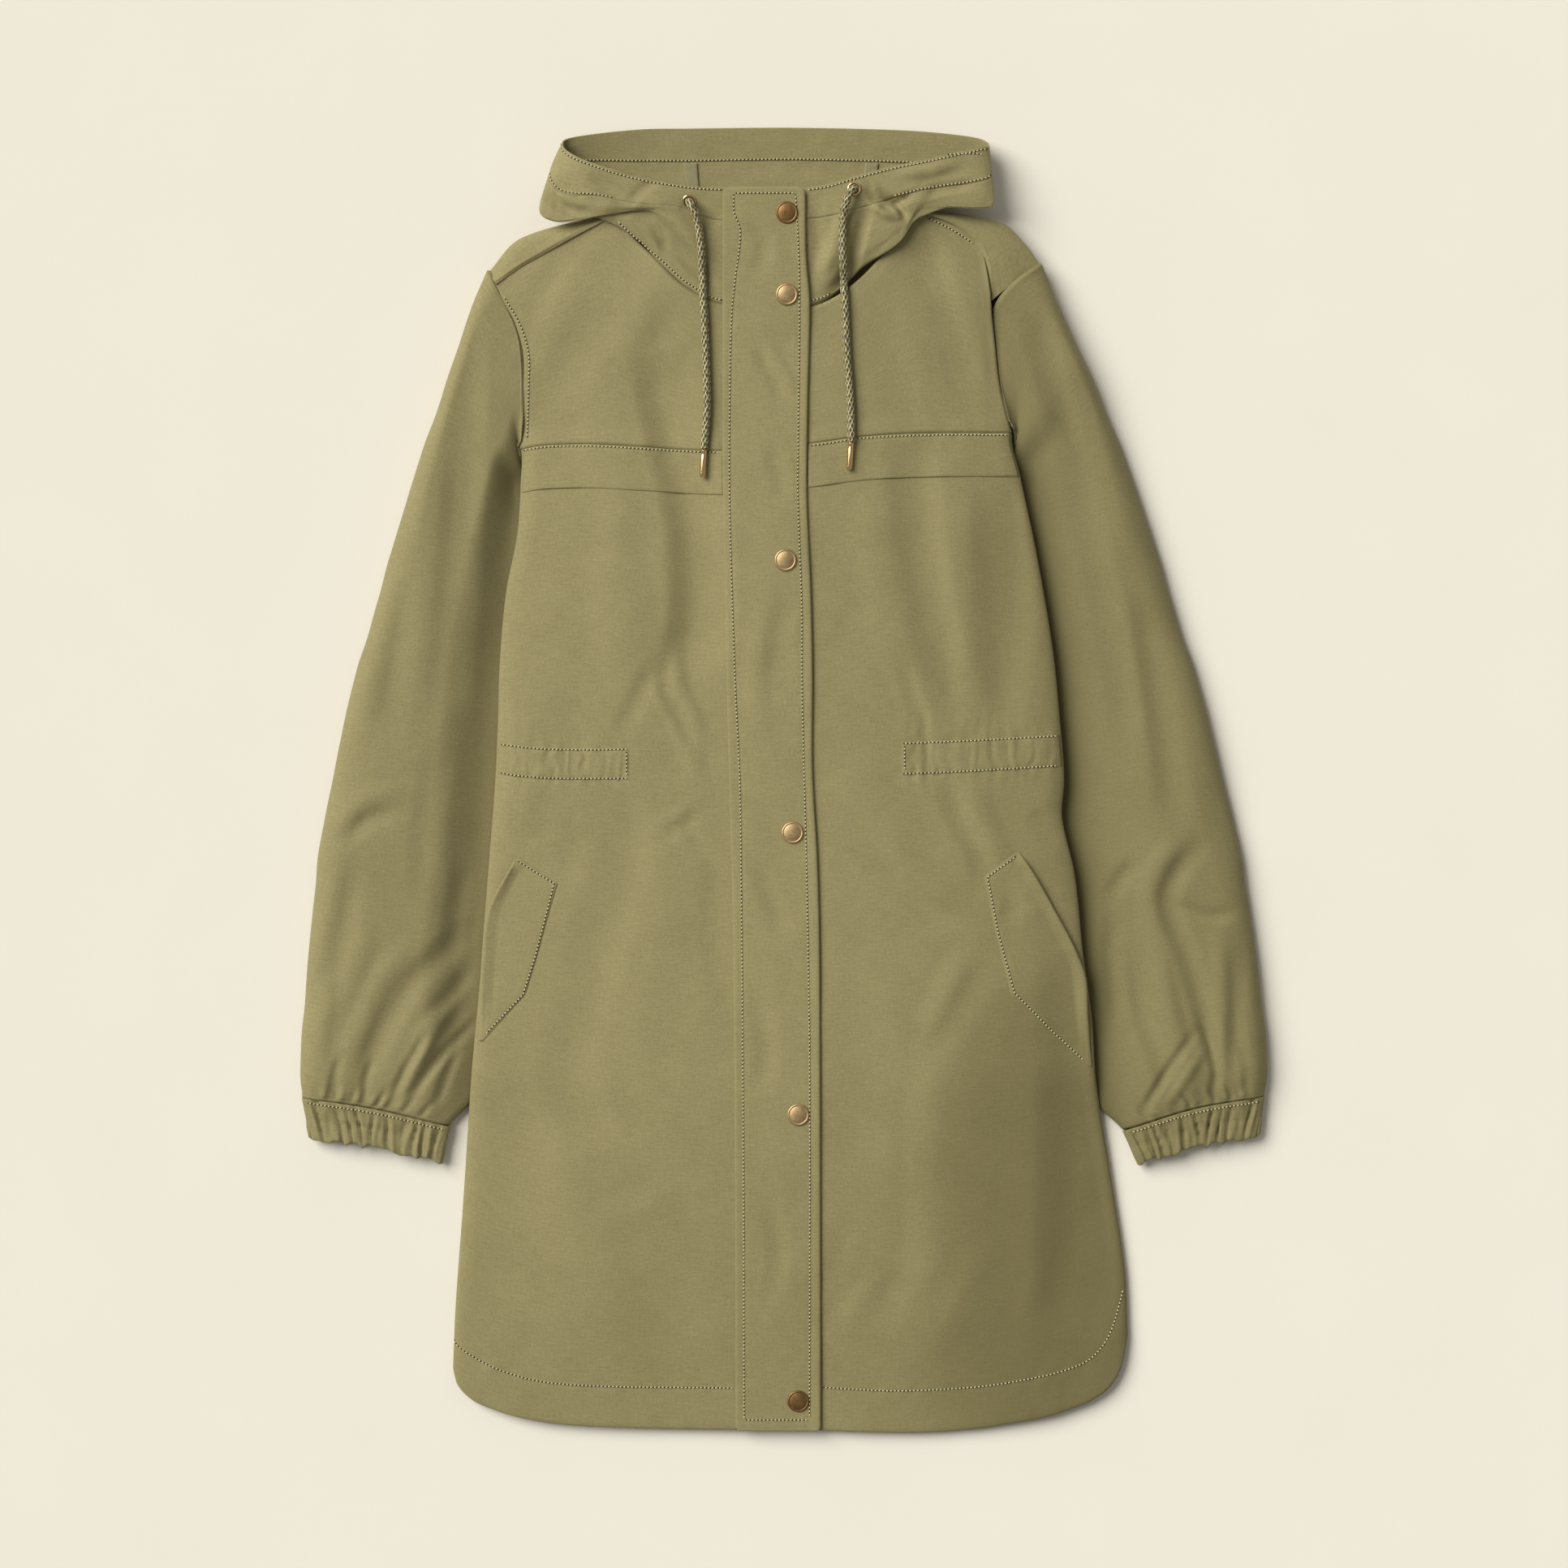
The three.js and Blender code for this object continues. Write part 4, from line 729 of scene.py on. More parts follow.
# Half sections of the turned parts, as radius and height.
EYELET_SECTION = [
    (EYELET_HOLE_R, 0.1), (EYELET_R - 0.1, 0.0), (EYELET_R, 0.25), (EYELET_R - 0.15, 0.7), (EYELET_R - 0.6, 1.15),
    (EYELET_R - 1.05, 1.3), (EYELET_HOLE_R + 0.35, 1.15), (EYELET_HOLE_R + 0.05, 0.75), (EYELET_HOLE_R, 0.1)]
AGLET_SECTION = [
    (0.0, 0.0), (AGLET_R + 0.05, 0.0), (AGLET_R + 0.08, 0.3), (AGLET_R - 0.02, 0.7), (AGLET_R - 0.02, 2.2),
    (AGLET_R - 0.22, 2.6), (AGLET_R - 0.22, 3.0), (AGLET_R, 3.4), (AGLET_R, 8.5), (AGLET_R, AGLET_LONG - 2.2),
    (AGLET_R - 0.12, AGLET_LONG - 1.0), (AGLET_R - 0.6, AGLET_LONG - 0.2), (AGLET_R - 1.1, AGLET_LONG),
    (0.0, AGLET_LONG)]
SNAP_SECTION = [
    (0, 0), (SNAP_R - 0.5, 0), (SNAP_R - 0.1, 0.12), (SNAP_R, 0.45), (SNAP_R - 0.08, 0.8), (SNAP_R - 0.42, 1.1),
    (SNAP_R - 0.95, 1.2), (SNAP_R - 1.3, 1.08), (SNAP_R - 1.5, 0.98), (SNAP_R - 1.75, 1.04),
    (SNAP_R - 2.2, 1.16), (SNAP_R - 3.0, 1.34), (SNAP_R - 4.2, 1.52), (SNAP_R - 5.6, 1.66), (SNAP_R - 6.8, 1.7),
    (0.01, 1.7)]


# ---- meshes ----

def unit(v):
    return v / np.maximum(np.linalg.norm(v, axis=-1, keepdims=True), 1e-12)


def mesh_object(name, points, faces, look, marks=None):
    """A smooth-shaded object from points in millimetres and arrays of faces with equal numbers of corners."""
    mesh = bpy.data.meshes.new(name)
    points = np.asarray(points, float).reshape(-1, 3)
    mesh.vertices.add(len(points))
    mesh.vertices.foreach_set("co", (points * MM).astype(np.float32).ravel())
    faces = [np.asarray(f, np.int32) for f in faces if len(f)]
    corners = np.concatenate([f.ravel() for f in faces])
    sizes = np.concatenate([np.full(len(f), f.shape[1]) for f in faces])
    mesh.loops.add(len(corners))
    mesh.loops.foreach_set("vertex_index", corners)
    mesh.polygons.add(len(sizes))
    mesh.polygons.foreach_set("loop_start", np.concatenate([[0], np.cumsum(sizes)[:-1]]).astype(np.int32))
    mesh.update(calc_edges=True)
    mesh.polygons.foreach_set("use_smooth", np.ones(len(sizes), bool))
    mesh.materials.append(look)
    for mark, values in (marks or {}).items():
        values = np.asarray(values, np.float32)
        kind, field = ("FLOAT_VECTOR", "vector") if values.ndim == 2 else ("FLOAT", "value")
        mesh.attributes.new(mark, kind, "POINT").data.foreach_set(field, values.ravel())
    made = bpy.data.objects.new(name, mesh)
    bpy.context.collection.objects.link(made)
    return made


def grid_faces(rows, columns, around, closed=False):
    """Quads over a grid of points, whose columns may run around and whose last row may meet its first."""
    i, j = np.meshgrid(np.arange(rows if closed else rows - 1), np.arange(columns if around else columns - 1),
                       indexing="ij")
    i, i2, j2 = i * columns, (i + 1) % rows * columns, (j + 1) % columns
    return np.stack([i + j, i + j2, i2 + j2, i2 + j], -1).reshape(-1, 4)


def grid_normals(p, around):
    """The outward direction at each point of a grid."""
    if around:
        across = np.roll(p, -1, 1) - np.roll(p, 1, 1)
    else:
        across = np.gradient(p, axis=1)
    return unit(np.cross(across, np.gradient(p, axis=0)))


def tuck(p, end, share=1.0, around=False):
    """Turns the first or last row of a grid down into its seam and on under its neighbour."""
    i, j = (0, 1) if end == "first" else (-1, -2)
    edge, out, normal = p[i], unit(p[i] - p[j]), grid_normals(p, around)[i]
    share = np.broadcast_to(share, edge.shape[:1])[:, None]
    bend = edge + share * (0.1 * out - 0.55 * normal) + (1 - share) * 0.02 * out
    under = edge + share * (1.6 * out - 0.7 * normal) + (1 - share) * 0.04 * out
    return np.concatenate([under[None], bend[None], p] if end == "first" else [p, bend[None], under[None]])


def grain_of(p):
    """How far each point of a sheet lies along and across its grain."""
    across = np.linalg.norm(np.diff(p, axis=1), axis=-1)
    across = np.concatenate([np.zeros((len(p), 1)), np.cumsum(across, 1)], 1)
    along = np.linalg.norm(np.diff(p, axis=0), axis=-1).mean(1)
    along = np.concatenate([[0], np.cumsum(along)])
    middle = across[:, p.shape[1] // 2: p.shape[1] // 2 + 1]
    return np.stack([across - middle, np.repeat(along[:, None], p.shape[1], 1), 0 * across], -1)


def rim_loops(rows, columns, around):
    """The points at the edges of a grid, in order, with the neighbour of each on the grid."""
    row, column = np.arange(columns), np.arange(rows)
    if around:
        return [(row, row + columns), ((rows - 1) * columns + row[::-1], (rows - 2) * columns + row[::-1])]
    low = np.stack([row[:-1], row[:-1] + columns])
    right = np.stack([column[:-1] * columns + columns - 1, column[:-1] * columns + columns - 2])
    high = np.stack([(rows - 1) * columns + row[:0:-1], (rows - 2) * columns + row[:0:-1]])
    left = np.stack([column[:0:-1] * columns, column[:0:-1] * columns + 1])
    return [tuple(np.concatenate([low, right, high, left], axis=1))]


def deeper(name, x, y):
    """Painted shade: how much darker each point of a piece is painted, standing in for the light falling off on its
    right and low down, and for the shadow beside the body.
    """
    if "back" in name or "hood" in name:
        return 0 * x
    # Painted shadow of the body's edge on the sleeves, and painted fall-off of the light towards the right.
    if name.startswith("sleeve_right"):
        return 0.36 + 0.85 * np.exp(-np.maximum(x - RIGHT_EDGE(y), 0) / 13) * smooth((250 - y) / 40)
    if name.startswith("sleeve_left"):
        return 0.12 + 0.4 * np.exp(-np.maximum(LEFT_EDGE(y) - x, 0) / 9) * smooth((250 - y) / 40)
    if name.startswith("cuff"):
        return np.where(x > 0, 0.4, 0.15)
    skirt = 0.5 * smooth((x - 60 + 14 * noise(y / 70, 0 * y, 81)) / 120) * smooth((-40 - y) / 210)
    flank = 0.2 * smooth((x - 100) / 70) * smooth((240 - y) / 90)
    return np.maximum(skirt, flank) + 0.1 * smooth((-180 - y) / 200) + 0.06 * smooth((x - 20) / 60)


def cloth(name, p, look, around=False, lift=0.0, thick=CLOTH):
    """A thin closed shell of cloth whose outer face passes through a grid of points, moved out by lift."""
    rows, columns = p.shape[:2]
    normal = grid_normals(p, around)
    lift = np.broadcast_to(np.asarray(lift, float), (rows, columns))[..., None]
    outer = (p + normal * lift).reshape(-1, 3)
    inner = outer - normal.reshape(-1, 3) * thick
    grain = grain_of(p).reshape(-1, 3)
    count = rows * columns
    points, marks = [outer, inner], [grain, grain]
    quads = grid_faces(rows, columns, around)
    faces = [quads, quads[:, ::-1] + count]
    first = 2 * count
    for loop, inside in rim_loops(rows, columns, around):
        out = unit(outer[loop] - outer[inside])
        points.append((outer[loop] + inner[loop]) / 2 + 0.1 * thick * out)
        marks.append(grain[loop])
        here, after = np.arange(len(loop)), (np.arange(len(loop)) + 1) % len(loop)
        o0, o1, m0, m1 = loop[here], loop[after], first + here, first + after
        faces += [np.stack([m0, m1, o1, o0], -1), np.stack([o0 + count, o1 + count, m1, m0], -1)]
        first += len(loop)
    points = np.concatenate(points)
    points[:, 2] = np.maximum(points[:, 2], LOWEST)
    # Painted shade: how far each point's colour is pulled towards the shaded tone, where the light falls off and
    # beside the body.
    marks = {"grain": np.concatenate(marks), "deeper": deeper(name, points[:, 0], points[:, 1])}
    return mesh_object(name, points, faces, look, marks)


def turned(name, section, foot, axis, look, around=40):
    """A solid turned about an axis from a half section of (radius, height) pairs, from its foot to its top."""
    axis = unit(np.asarray(axis, float))
    side = unit(np.cross(axis, [0.3, 1, 0.2]))
    other = np.cross(axis, side)
    angle = steps(0, 2 * math.pi, around)[:-1]
    ring = np.cos(angle)[:, None] * side + np.sin(angle)[:, None] * other
    section = np.asarray(section, float)
    points = np.asarray(foot, float) + section[:, 0, None, None] * ring + section[:, 1, None, None] * axis
    closed = np.allclose(section[0], section[-1])
    rows = len(section) - 1 if closed else len(section)
    points = points[:rows].reshape(-1, 3)
    faces = [grid_faces(rows, around, True, closed)]
    if not closed:
        faces += [np.arange(around)[::-1][None], (rows - 1) * around + np.arange(around)[None]]
    return mesh_object(name, points, faces, look)


def rides(piece, *nodes, slot="cloth"):
    """The piece stands for these CAD nodes, which it hides, and moves with the coat; the slot is not used."""
    if nodes:
        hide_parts(*nodes)
    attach(piece, "root")


def drop_on(piece, x, y, below=False):
    """The point of a piece straight under (x, y), or over it from below, and the way that its face looks."""
    hit, point, normal, _ = piece.ray_cast((x * MM, y * MM, -0.1 if below else 0.2), (0, 0, 1 if below else -1))
    if not hit:
        return None
    normal = np.array(normal)
    return np.array(point) / MM, normal * (1 if (normal[2] > 0) != below else -1)


# ---- looks ----

class Value:
    """A socket of a look. Python's operators on it make maths nodes."""

    def __init__(self, look, socket):
        self.look, self.socket = look, socket

    def maths(self, operation, *others, swapped=False):
        values = [self, *others]
        return self.look.maths(operation, *(reversed(values) if swapped else values))

    def __add__(self, other): return self.maths("ADD", other)
    def __radd__(self, other): return self.maths("ADD", other, swapped=True)
    def __sub__(self, other): return self.maths("SUBTRACT", other)
    def __rsub__(self, other): return self.maths("SUBTRACT", other, swapped=True)
    def __mul__(self, other): return self.maths("MULTIPLY", other)
    def __rmul__(self, other): return self.maths("MULTIPLY", other, swapped=True)
    def __gt__(self, other): return self.maths("GREATER_THAN", other)
    def __lt__(self, other): return self.maths("LESS_THAN", other)
    def sin(self): return self.maths("SINE")
    def held(self): return self.maths("MAXIMUM", 0.0).maths("MINIMUM", 1.0)


class Look:
    """A material of the coat, made from nodes."""

    def __init__(self, name, roughness, metallic=0.0, **constants):
        self.material = bpy.data.materials.new(name)
        self.material.use_nodes = True
        self.tree = self.material.node_tree
        self.tree.nodes.clear()
        self.shader = self.node("ShaderNodeBsdfPrincipled", {}, {
            "Roughness": roughness, "Metallic": metallic,
            **{key.replace("_", " ").title().replace("Ior", "IOR"): value for key, value in constants.items()}})
        output = self.node("ShaderNodeOutputMaterial", {}, {})
        self.tree.links.new(self.shader.outputs["BSDF"], output.inputs["Surface"])

    def node(self, kind, settings, inputs):
        """A node of a kind, with its settings made first and then its sockets set or linked."""
        node = self.tree.nodes.new(kind)
        for key, value in settings.items():
            setattr(node, key, value)
        for key, value in inputs.items():
            self.put(node.inputs[key], value)
        return node

    def put(self, socket, value):
        if isinstance(value, Value):
            self.tree.links.new(value.socket, socket)
        else:
            socket.default_value = value

    def maths(self, operation, *values):
        node = self.node("ShaderNodeMath", {"operation": operation}, dict(enumerate(values)))
        return Value(self, node.outputs[0])

    def apart(self, vector):
        """The three numbers of a vector."""
        node = self.node("ShaderNodeSeparateXYZ", {}, {0: Value(self, vector)})
        return [Value(self, node.outputs[k]) for k in range(3)]

    def mark(self, name):
        """The three numbers of a mark that the mesh carries."""
        return self.apart(self.node("ShaderNodeAttribute", {"attribute_name": name}, {}).outputs["Vector"])

    def place(self):
        """Where a point is on the coat, in millimetres."""
        node = self.node("ShaderNodeNewGeometry", {}, {})
        scaled = self.node("ShaderNodeVectorMath", {"operation": "SCALE"},
                           {0: Value(self, node.outputs["Position"]), "Scale": 1 / MM})
        return self.apart(scaled.outputs[0])

    def noise(self, x, y, z=0.0, detail=2.0, rough=0.5):
        """Noise from about -1 to 1."""
        joined = self.node("ShaderNodeCombineXYZ", {}, {0: x, 1: y, 2: z})
        node = self.node("ShaderNodeTexNoise", {}, {
            "Vector": Value(self, joined.outputs[0]), "Scale": 1.0, "Detail": detail, "Roughness": rough})
        return (Value(self, node.outputs[0]) - 0.5) * 2.6

    def blend(self, first, second, share):
        """A colour between two colours."""
        node = self.node("ShaderNodeMix", {"data_type": "RGBA"}, {0: share, 6: first, 7: second})
        return Value(self, node.outputs[2])

    def colour(self, value):
        self.put(self.shader.inputs["Base Color"], value)

    def roughness(self, value):
        self.put(self.shader.inputs["Roughness"], value)

    def bump(self, height, deep):
        """Height in millimetres, shown as relief."""
        node = self.node("ShaderNodeBump", {}, {"Strength": deep, "Distance": MM, "Height": height})
        self.put(self.shader.inputs["Normal"], Value(self, node.outputs[0]))


def srgb(red, green, blue):
    """A colour of the shader from one of a screen."""
    return tuple(((c / 255 + 0.055) / 1.055) ** 2.4 if c > 10 else c / 3295 for c in (red, green, blue)) + (1.0,)


def tint(name):
    """A colour from the settings."""
    return tuple(getattr(bpy.context.scene.parka_colours, name))


def cloth_look(name, kind):
    """Washed cotton: a fine plain weave with slubs, and lighter and darker patches, with each piece's painted shade
    laid over it.
    """
    settings = bpy.context.scene.parka
    look = Look(name, 0.72, specular_ior_level=0.3, sheen_weight=0.12, sheen_roughness=0.45)
    x, y, _ = look.mark("grain")
    pitch = 2 * math.pi / settings.weave_pitch * MM
    warp, weft = (x * pitch).sin(), (y * pitch).sin()
    over = warp * weft > 0.0
    weave = warp * warp * over + weft * weft * (1.0 - over)
    slub = look.noise(x * 0.08, y * 0.9, 3.0, 4.0, 0.65)
    yarn = look.noise(x * 0.8, y * 0.08, 7.0, 4.0, 0.65)
    patches = look.noise(x * 0.03, y * 0.03, 11.0, 3.0, 0.55)
    speck = look.noise(x * 0.5, y * 0.6, 5.0, 3.0, 0.7)
    tone = (0.5 + 0.36 * slub + 0.22 * yarn + 0.16 * patches + 0.42 * speck + 0.12 * (weave - 0.5)).held()
    # Painted shade: this mark pulls the cloth's colour towards a shaded tone.
    deeper, _, _ = look.mark("deeper")
    cloth_tone = look.blend(tint(f"{kind}_dark"), tint(f"{kind}_light"), tone)
    look.colour(look.blend(cloth_tone, tint("cotton_painted_shade"), deeper.held()))
    look.roughness(0.7 + 0.06 * patches - 0.05 * slub)
    look.bump(0.09 * weave + 0.05 * slub + 0.035 * yarn + 0.05 * speck, settings.weave_depth)


def thread_look(name):
    look = Look(name, 0.55, specular_ior_level=0.35)
    x, y, z = look.place()
    twist = ((x + y) * 14.0 + z * 9.0).sin()
    look.colour(look.blend(tint("thread_dark"), tint("thread_light"), (0.5 + 0.3 * twist).held()))
    look.bump(0.05 * twist, 0.5)


def hole_shade_look(name):
    # Painted shade: a flat dark colour for the shade inside a needle hole.
    look = Look(name, 0.9, specular_ior_level=0.1)
    x, y, _ = look.place()
    look.colour(look.blend(tint("hole_shade_dark"), tint("hole_shade_light"), (0.5 + look.noise(x * 0.8, y * 0.8)).held()))


def brass_look(name, kind, rough, wear):
    """Plated brass with a patina that is darker in patches and fine scratches in its polish."""
    look = Look(name, rough, 1.0)
    x, y, z = look.place()
    patina = look.noise(x * 0.22, y * 0.22, z * 0.22, 4.0, 0.6)
    fine = look.noise(x * 1.7, y * 1.7, z * 1.7, 3.0, 0.6)
    tone = (0.5 + wear * patina + 0.16 * fine).held()
    look.colour(look.blend(tint(f"{kind}_dark"), tint(f"{kind}_light"), tone))
    look.roughness((rough + 0.1 * patina + 0.08 * fine).held())
    look.bump(0.05 * fine + 0.04 * patina, 0.35)


def cord_look(name):
    """A round braid in sage cotton with cream and gold strands."""
    look = Look(name, 0.7, specular_ior_level=0.3, sheen_weight=0.1, sheen_roughness=0.5)
    turn, along, _ = look.mark("lay")
    right, left = (turn * 37.7 + along * 1.05).sin(), (turn * 37.7 - along * 1.05).sin()
    front = look.maths("MAXIMUM", right, left)
    fleck = look.noise(turn * 9.0, along * 0.42, 2.0, 2.0, 0.5)
    speck = look.noise(turn * 20.0, along * 2.0, 4.0, 2.0, 0.6)
    gold = (right > 0.84) * (fleck > -0.02)
    cream = (left > 0.8) * (fleck < 0.12)
    # Painted shade: the braid is painted darker in the grooves between its strands and lighter on their crowns,
    # over its own sage tone and specks.
    base = look.blend(tint("cord_dark"), tint("cord_light"), (0.25 + 0.6 * front + 0.3 * speck).held())
    base = look.blend(base, tint("cord_gold"), gold)
    look.colour(look.blend(base, tint("cord_cream"), cream))
    look.bump(0.25 * front + 0.05 * speck, 0.6)


def board_look(name):
    look = Look(name, 0.85, specular_ior_level=0.15)
    x, y, _ = look.place()
    tone = (0.5 + 0.3 * look.noise(x * 0.01, y * 0.01)).held()
    look.colour(look.blend(tint("board_dark"), tint("board_light"), tone))


def looks():
    """All the looks, made once."""
    if "Olive cotton" not in bpy.data.materials:
        cloth_look("Olive cotton", "cotton")
        cloth_look("Olive tape", "tape")
        thread_look("Sewing thread")
        hole_shade_look("Needle hole")
        brass_look("Antique brass", "antique", 0.46, 0.25)
        brass_look("Darkened brass", "darkened", 0.46, 0.3)
        brass_look("Bright brass", "bright", 0.2, 0.16)
        cord_look("Braided cord")
        board_look("Pale board")
    return bpy.data.materials


# ---- steps of the work ----

SEWN = {"holes": [], "threads": []}  # where the stitches come, gathered as the pieces are made


def sew(piece, line, below=False):
    """Marks a row of stitches along a line of (x, y) on a piece, seen from above or from below."""
    pitch = bpy.context.scene.parka.stitch_pitch / MM
    fine, at = fine_line(line, 2.0)
    where = curve(at, fine)(np.arange(pitch / 2, at[-1], pitch / 2))
    found = [drop_on(piece, x, y, below) for x, y in where]
    for i in range(1, len(found) - 1, 2):
        if all(found[i - 1:i + 2]):
            (p0, _), (p, n), (p1, _) = found[i - 1:i + 2]
            if np.linalg.norm(p1 - p0) < 2 * pitch:
                SEWN["threads"].append((p, unit(p1 - p0), n))
                SEWN["holes"].append((p0, unit(p1 - p0), found[i - 1][1]))


class PARKA_OT_stage(bpy.types.Operator):
    """Make the camera, the lights and the floor"""
    bl_idname = "parka.stage"
    bl_label = "Camera, light and floor"

    def execute(self, context):
        settings = context.scene.parka
        camera = bpy.data.cameras.new("Camera")
        camera.lens, camera.sensor_width = CAMERA_LENS, CAMERA_SENSOR
        camera.clip_start, camera.clip_end = 0.1, 20
        held = bpy.data.objects.new("Camera", camera)
        high = settings.view_width * CAMERA_LENS / CAMERA_SENSOR + COAT_MIDDLE_Z
        held.location = (0, CAMERA_Y, high)
        context.collection.objects.link(held)
        context.scene.camera = held

        sun = bpy.data.lights.new("Window light", "SUN")
        sun.energy, sun.angle = settings.sun_strength, settings.sun_width
        sun.color = tint("sun")[:3]
        lamp = bpy.data.objects.new("Window light", sun)
        lamp.rotation_mode = "QUATERNION"
        lamp.rotation_quaternion = Vector(LIGHT_FROM).to_track_quat("Z", "Y")
        context.collection.objects.link(lamp)

        world = bpy.data.worlds.new("Studio")
        world.use_nodes = True
        background = world.node_tree.nodes["Background"]
        background.inputs["Color"].default_value = tint("sky")
        background.inputs["Strength"].default_value = settings.sky_strength
        context.scene.world = world
        context.scene.view_settings.view_transform = "Standard"

        corners = [(x * FLOOR_HALF, y * FLOOR_HALF, 0) for x, y in [(-1, -1), (1, -1), (1, 1), (-1, 1)]]
        floor = mesh_object("floor", corners, [[[0, 1, 2, 3]]], looks()["Pale board"])
        return {"FINISHED"}


class PARKA_OT_back(bpy.types.Operator):
    """Make the back, which runs over the shoulders to the shoulder seams"""
    bl_idname = "parka.back"
    bl_label = "Back"

    def execute(self, context):
        step = context.scene.parka.cloth_step / MM * 1.9
        hem = through([[-234, -415], [-228, -431], [-207, -444], [-159, -455], [-60, -459], [60, -459],
                       [158, -455], [204, -444], [231, -428], [243, -392]])
        underarms = through([[-186, 232.4], [160, 243.5]])
        roll = 0.0352 * (1 - np.cos(steps(0, math.pi / 2, 8)))
        us = np.concatenate([roll, steps(roll[-1], 1 - roll[-1], 400 / step)[1:-1], mirrored(roll)])
        low = np.concatenate([[0, 0.002, 0.006], steps(0.01, 1, 690 / step)])
        x, y = patch(LEFT_EDGE, RIGHT_EDGE, hem, underarms, 1 - us, low)
        z = back_height(x, y)
        inside = smooth((np.minimum(us, 1 - us) - 0.035) / 0.06)
        crease = 0.9 * np.abs(noise(x / 60, y / 110, 31)) + 0.5 * np.abs(noise(x / 24, y / 50, 32))
        crease += 1.6 * np.maximum(0, folds(x, y, BACK_FOLDS))
        z = z + crease * inside * smooth((y + 452) / 30)
        body = np.stack([x, y, z], -1)
        high = np.concatenate([steps(0, 1, 9), steps(1, 7, 60)[1:]])[1:]
        rows = np.stack([body[-1], *(c(1 - us) for c in SHOULDER_CURVES)], axis=-2)
        over = np.stack([between(rows, np.full(us.shape, v)) for v in high])
        whole = np.concatenate([body, over])
        whole = tuck(whole, "last", smooth((np.abs(us - 0.5) - 0.27) / 0.02))
        piece = cloth("back_cloth", whole, looks()["Olive cotton"])
        rides(piece, "back_panel")
        return {"FINISHED"}


def yoke_rise(x, y):
    """The yoke runs on as the storm flap, so it rises to the flap's height at its lower edge, and a little at the
    shoulder seam."""
    seam = np.where(x < 0, LEFT_YOKE_SEAM(x), RIGHT_YOKE_SEAM(x))
    ends = np.where(x < 0, smooth((-43.6 - x) / 4), smooth((x - 16.6) / 4))
    top = np.where(x < 0, LEFT_YOKE_TOP(x), RIGHT_YOKE_TOP(x))
    shoulder = smooth(1 - (top - y) / 9) * smooth((np.abs(x) - 70) / 20)
    return 0.9 * smooth(1 - (y - seam) / 14) * ends + 0.55 * shoulder


class PARKA_OT_fronts(bpy.types.Operator):
    """Make the two fronts and the two yokes above them"""
    bl_idname = "parka.fronts"
    bl_label = "Fronts and yokes"

    def execute(self, context):
        step = context.scene.parka.cloth_step / MM
        look = looks()["Olive cotton"]
        roll = 0.07 * (1 - np.cos(steps(0, math.pi / 2, 8)))
        us = np.concatenate([roll, steps(0.07, 1, 195 / step)[1:]])
        vs = np.concatenate([[0, 0.0008, 0.002, 0.004], steps(0.0065, 0.994, 690 / step), [0.998, 1]])
        opening = always(OPENING_X), always(OPENING_X + SEAM)
        for side, x0, x1, low, high, across, hem_row in [
                ("left", LEFT_EDGE, opening[0], LEFT_HEM, LEFT_YOKE_SEAM, us, HEM_STITCH_LEFT),
                ("right", opening[1], RIGHT_EDGE, RIGHT_HEM, RIGHT_YOKE_SEAM, mirrored(us), HEM_STITCH_RIGHT)]:
            x, y = patch(x0, x1, low, moved(high, -2 * SEAM), across, vs)
            hem = falls(y - low(x), 3.2, 1.3)
            piece = cloth(f"front_{side}_cloth", np.stack([x, y, front(x, y) - hem], -1), look)
            rides(piece, f"front_{side}")
            sew(piece, hem_row)
        width = step * 0.95
        for side, x0, x1, low, high, row in [
                ("left", LEFT_ARMHOLE, opening[0], LEFT_YOKE_SEAM, LEFT_YOKE_TOP, ARMHOLE_STITCH),
                ("right", opening[1], RIGHT_ARMHOLE, RIGHT_YOKE_SEAM, RIGHT_YOKE_TOP, SHOULDER_STITCH)]:
            x, y = patch(x0, x1, low, high, steps(0, 1, 185 / width), steps(0, 1, 150 / width))
            p = tuck(np.stack([x, y, front(x, y)], -1), "last", 0.8)
            piece = cloth(f"yoke_{side}_cloth", p, look, lift=yoke_rise(p[..., 0], p[..., 1]))
            rides(piece, f"yoke_{side}")
            sew(piece, row)
        return {"FINISHED"}


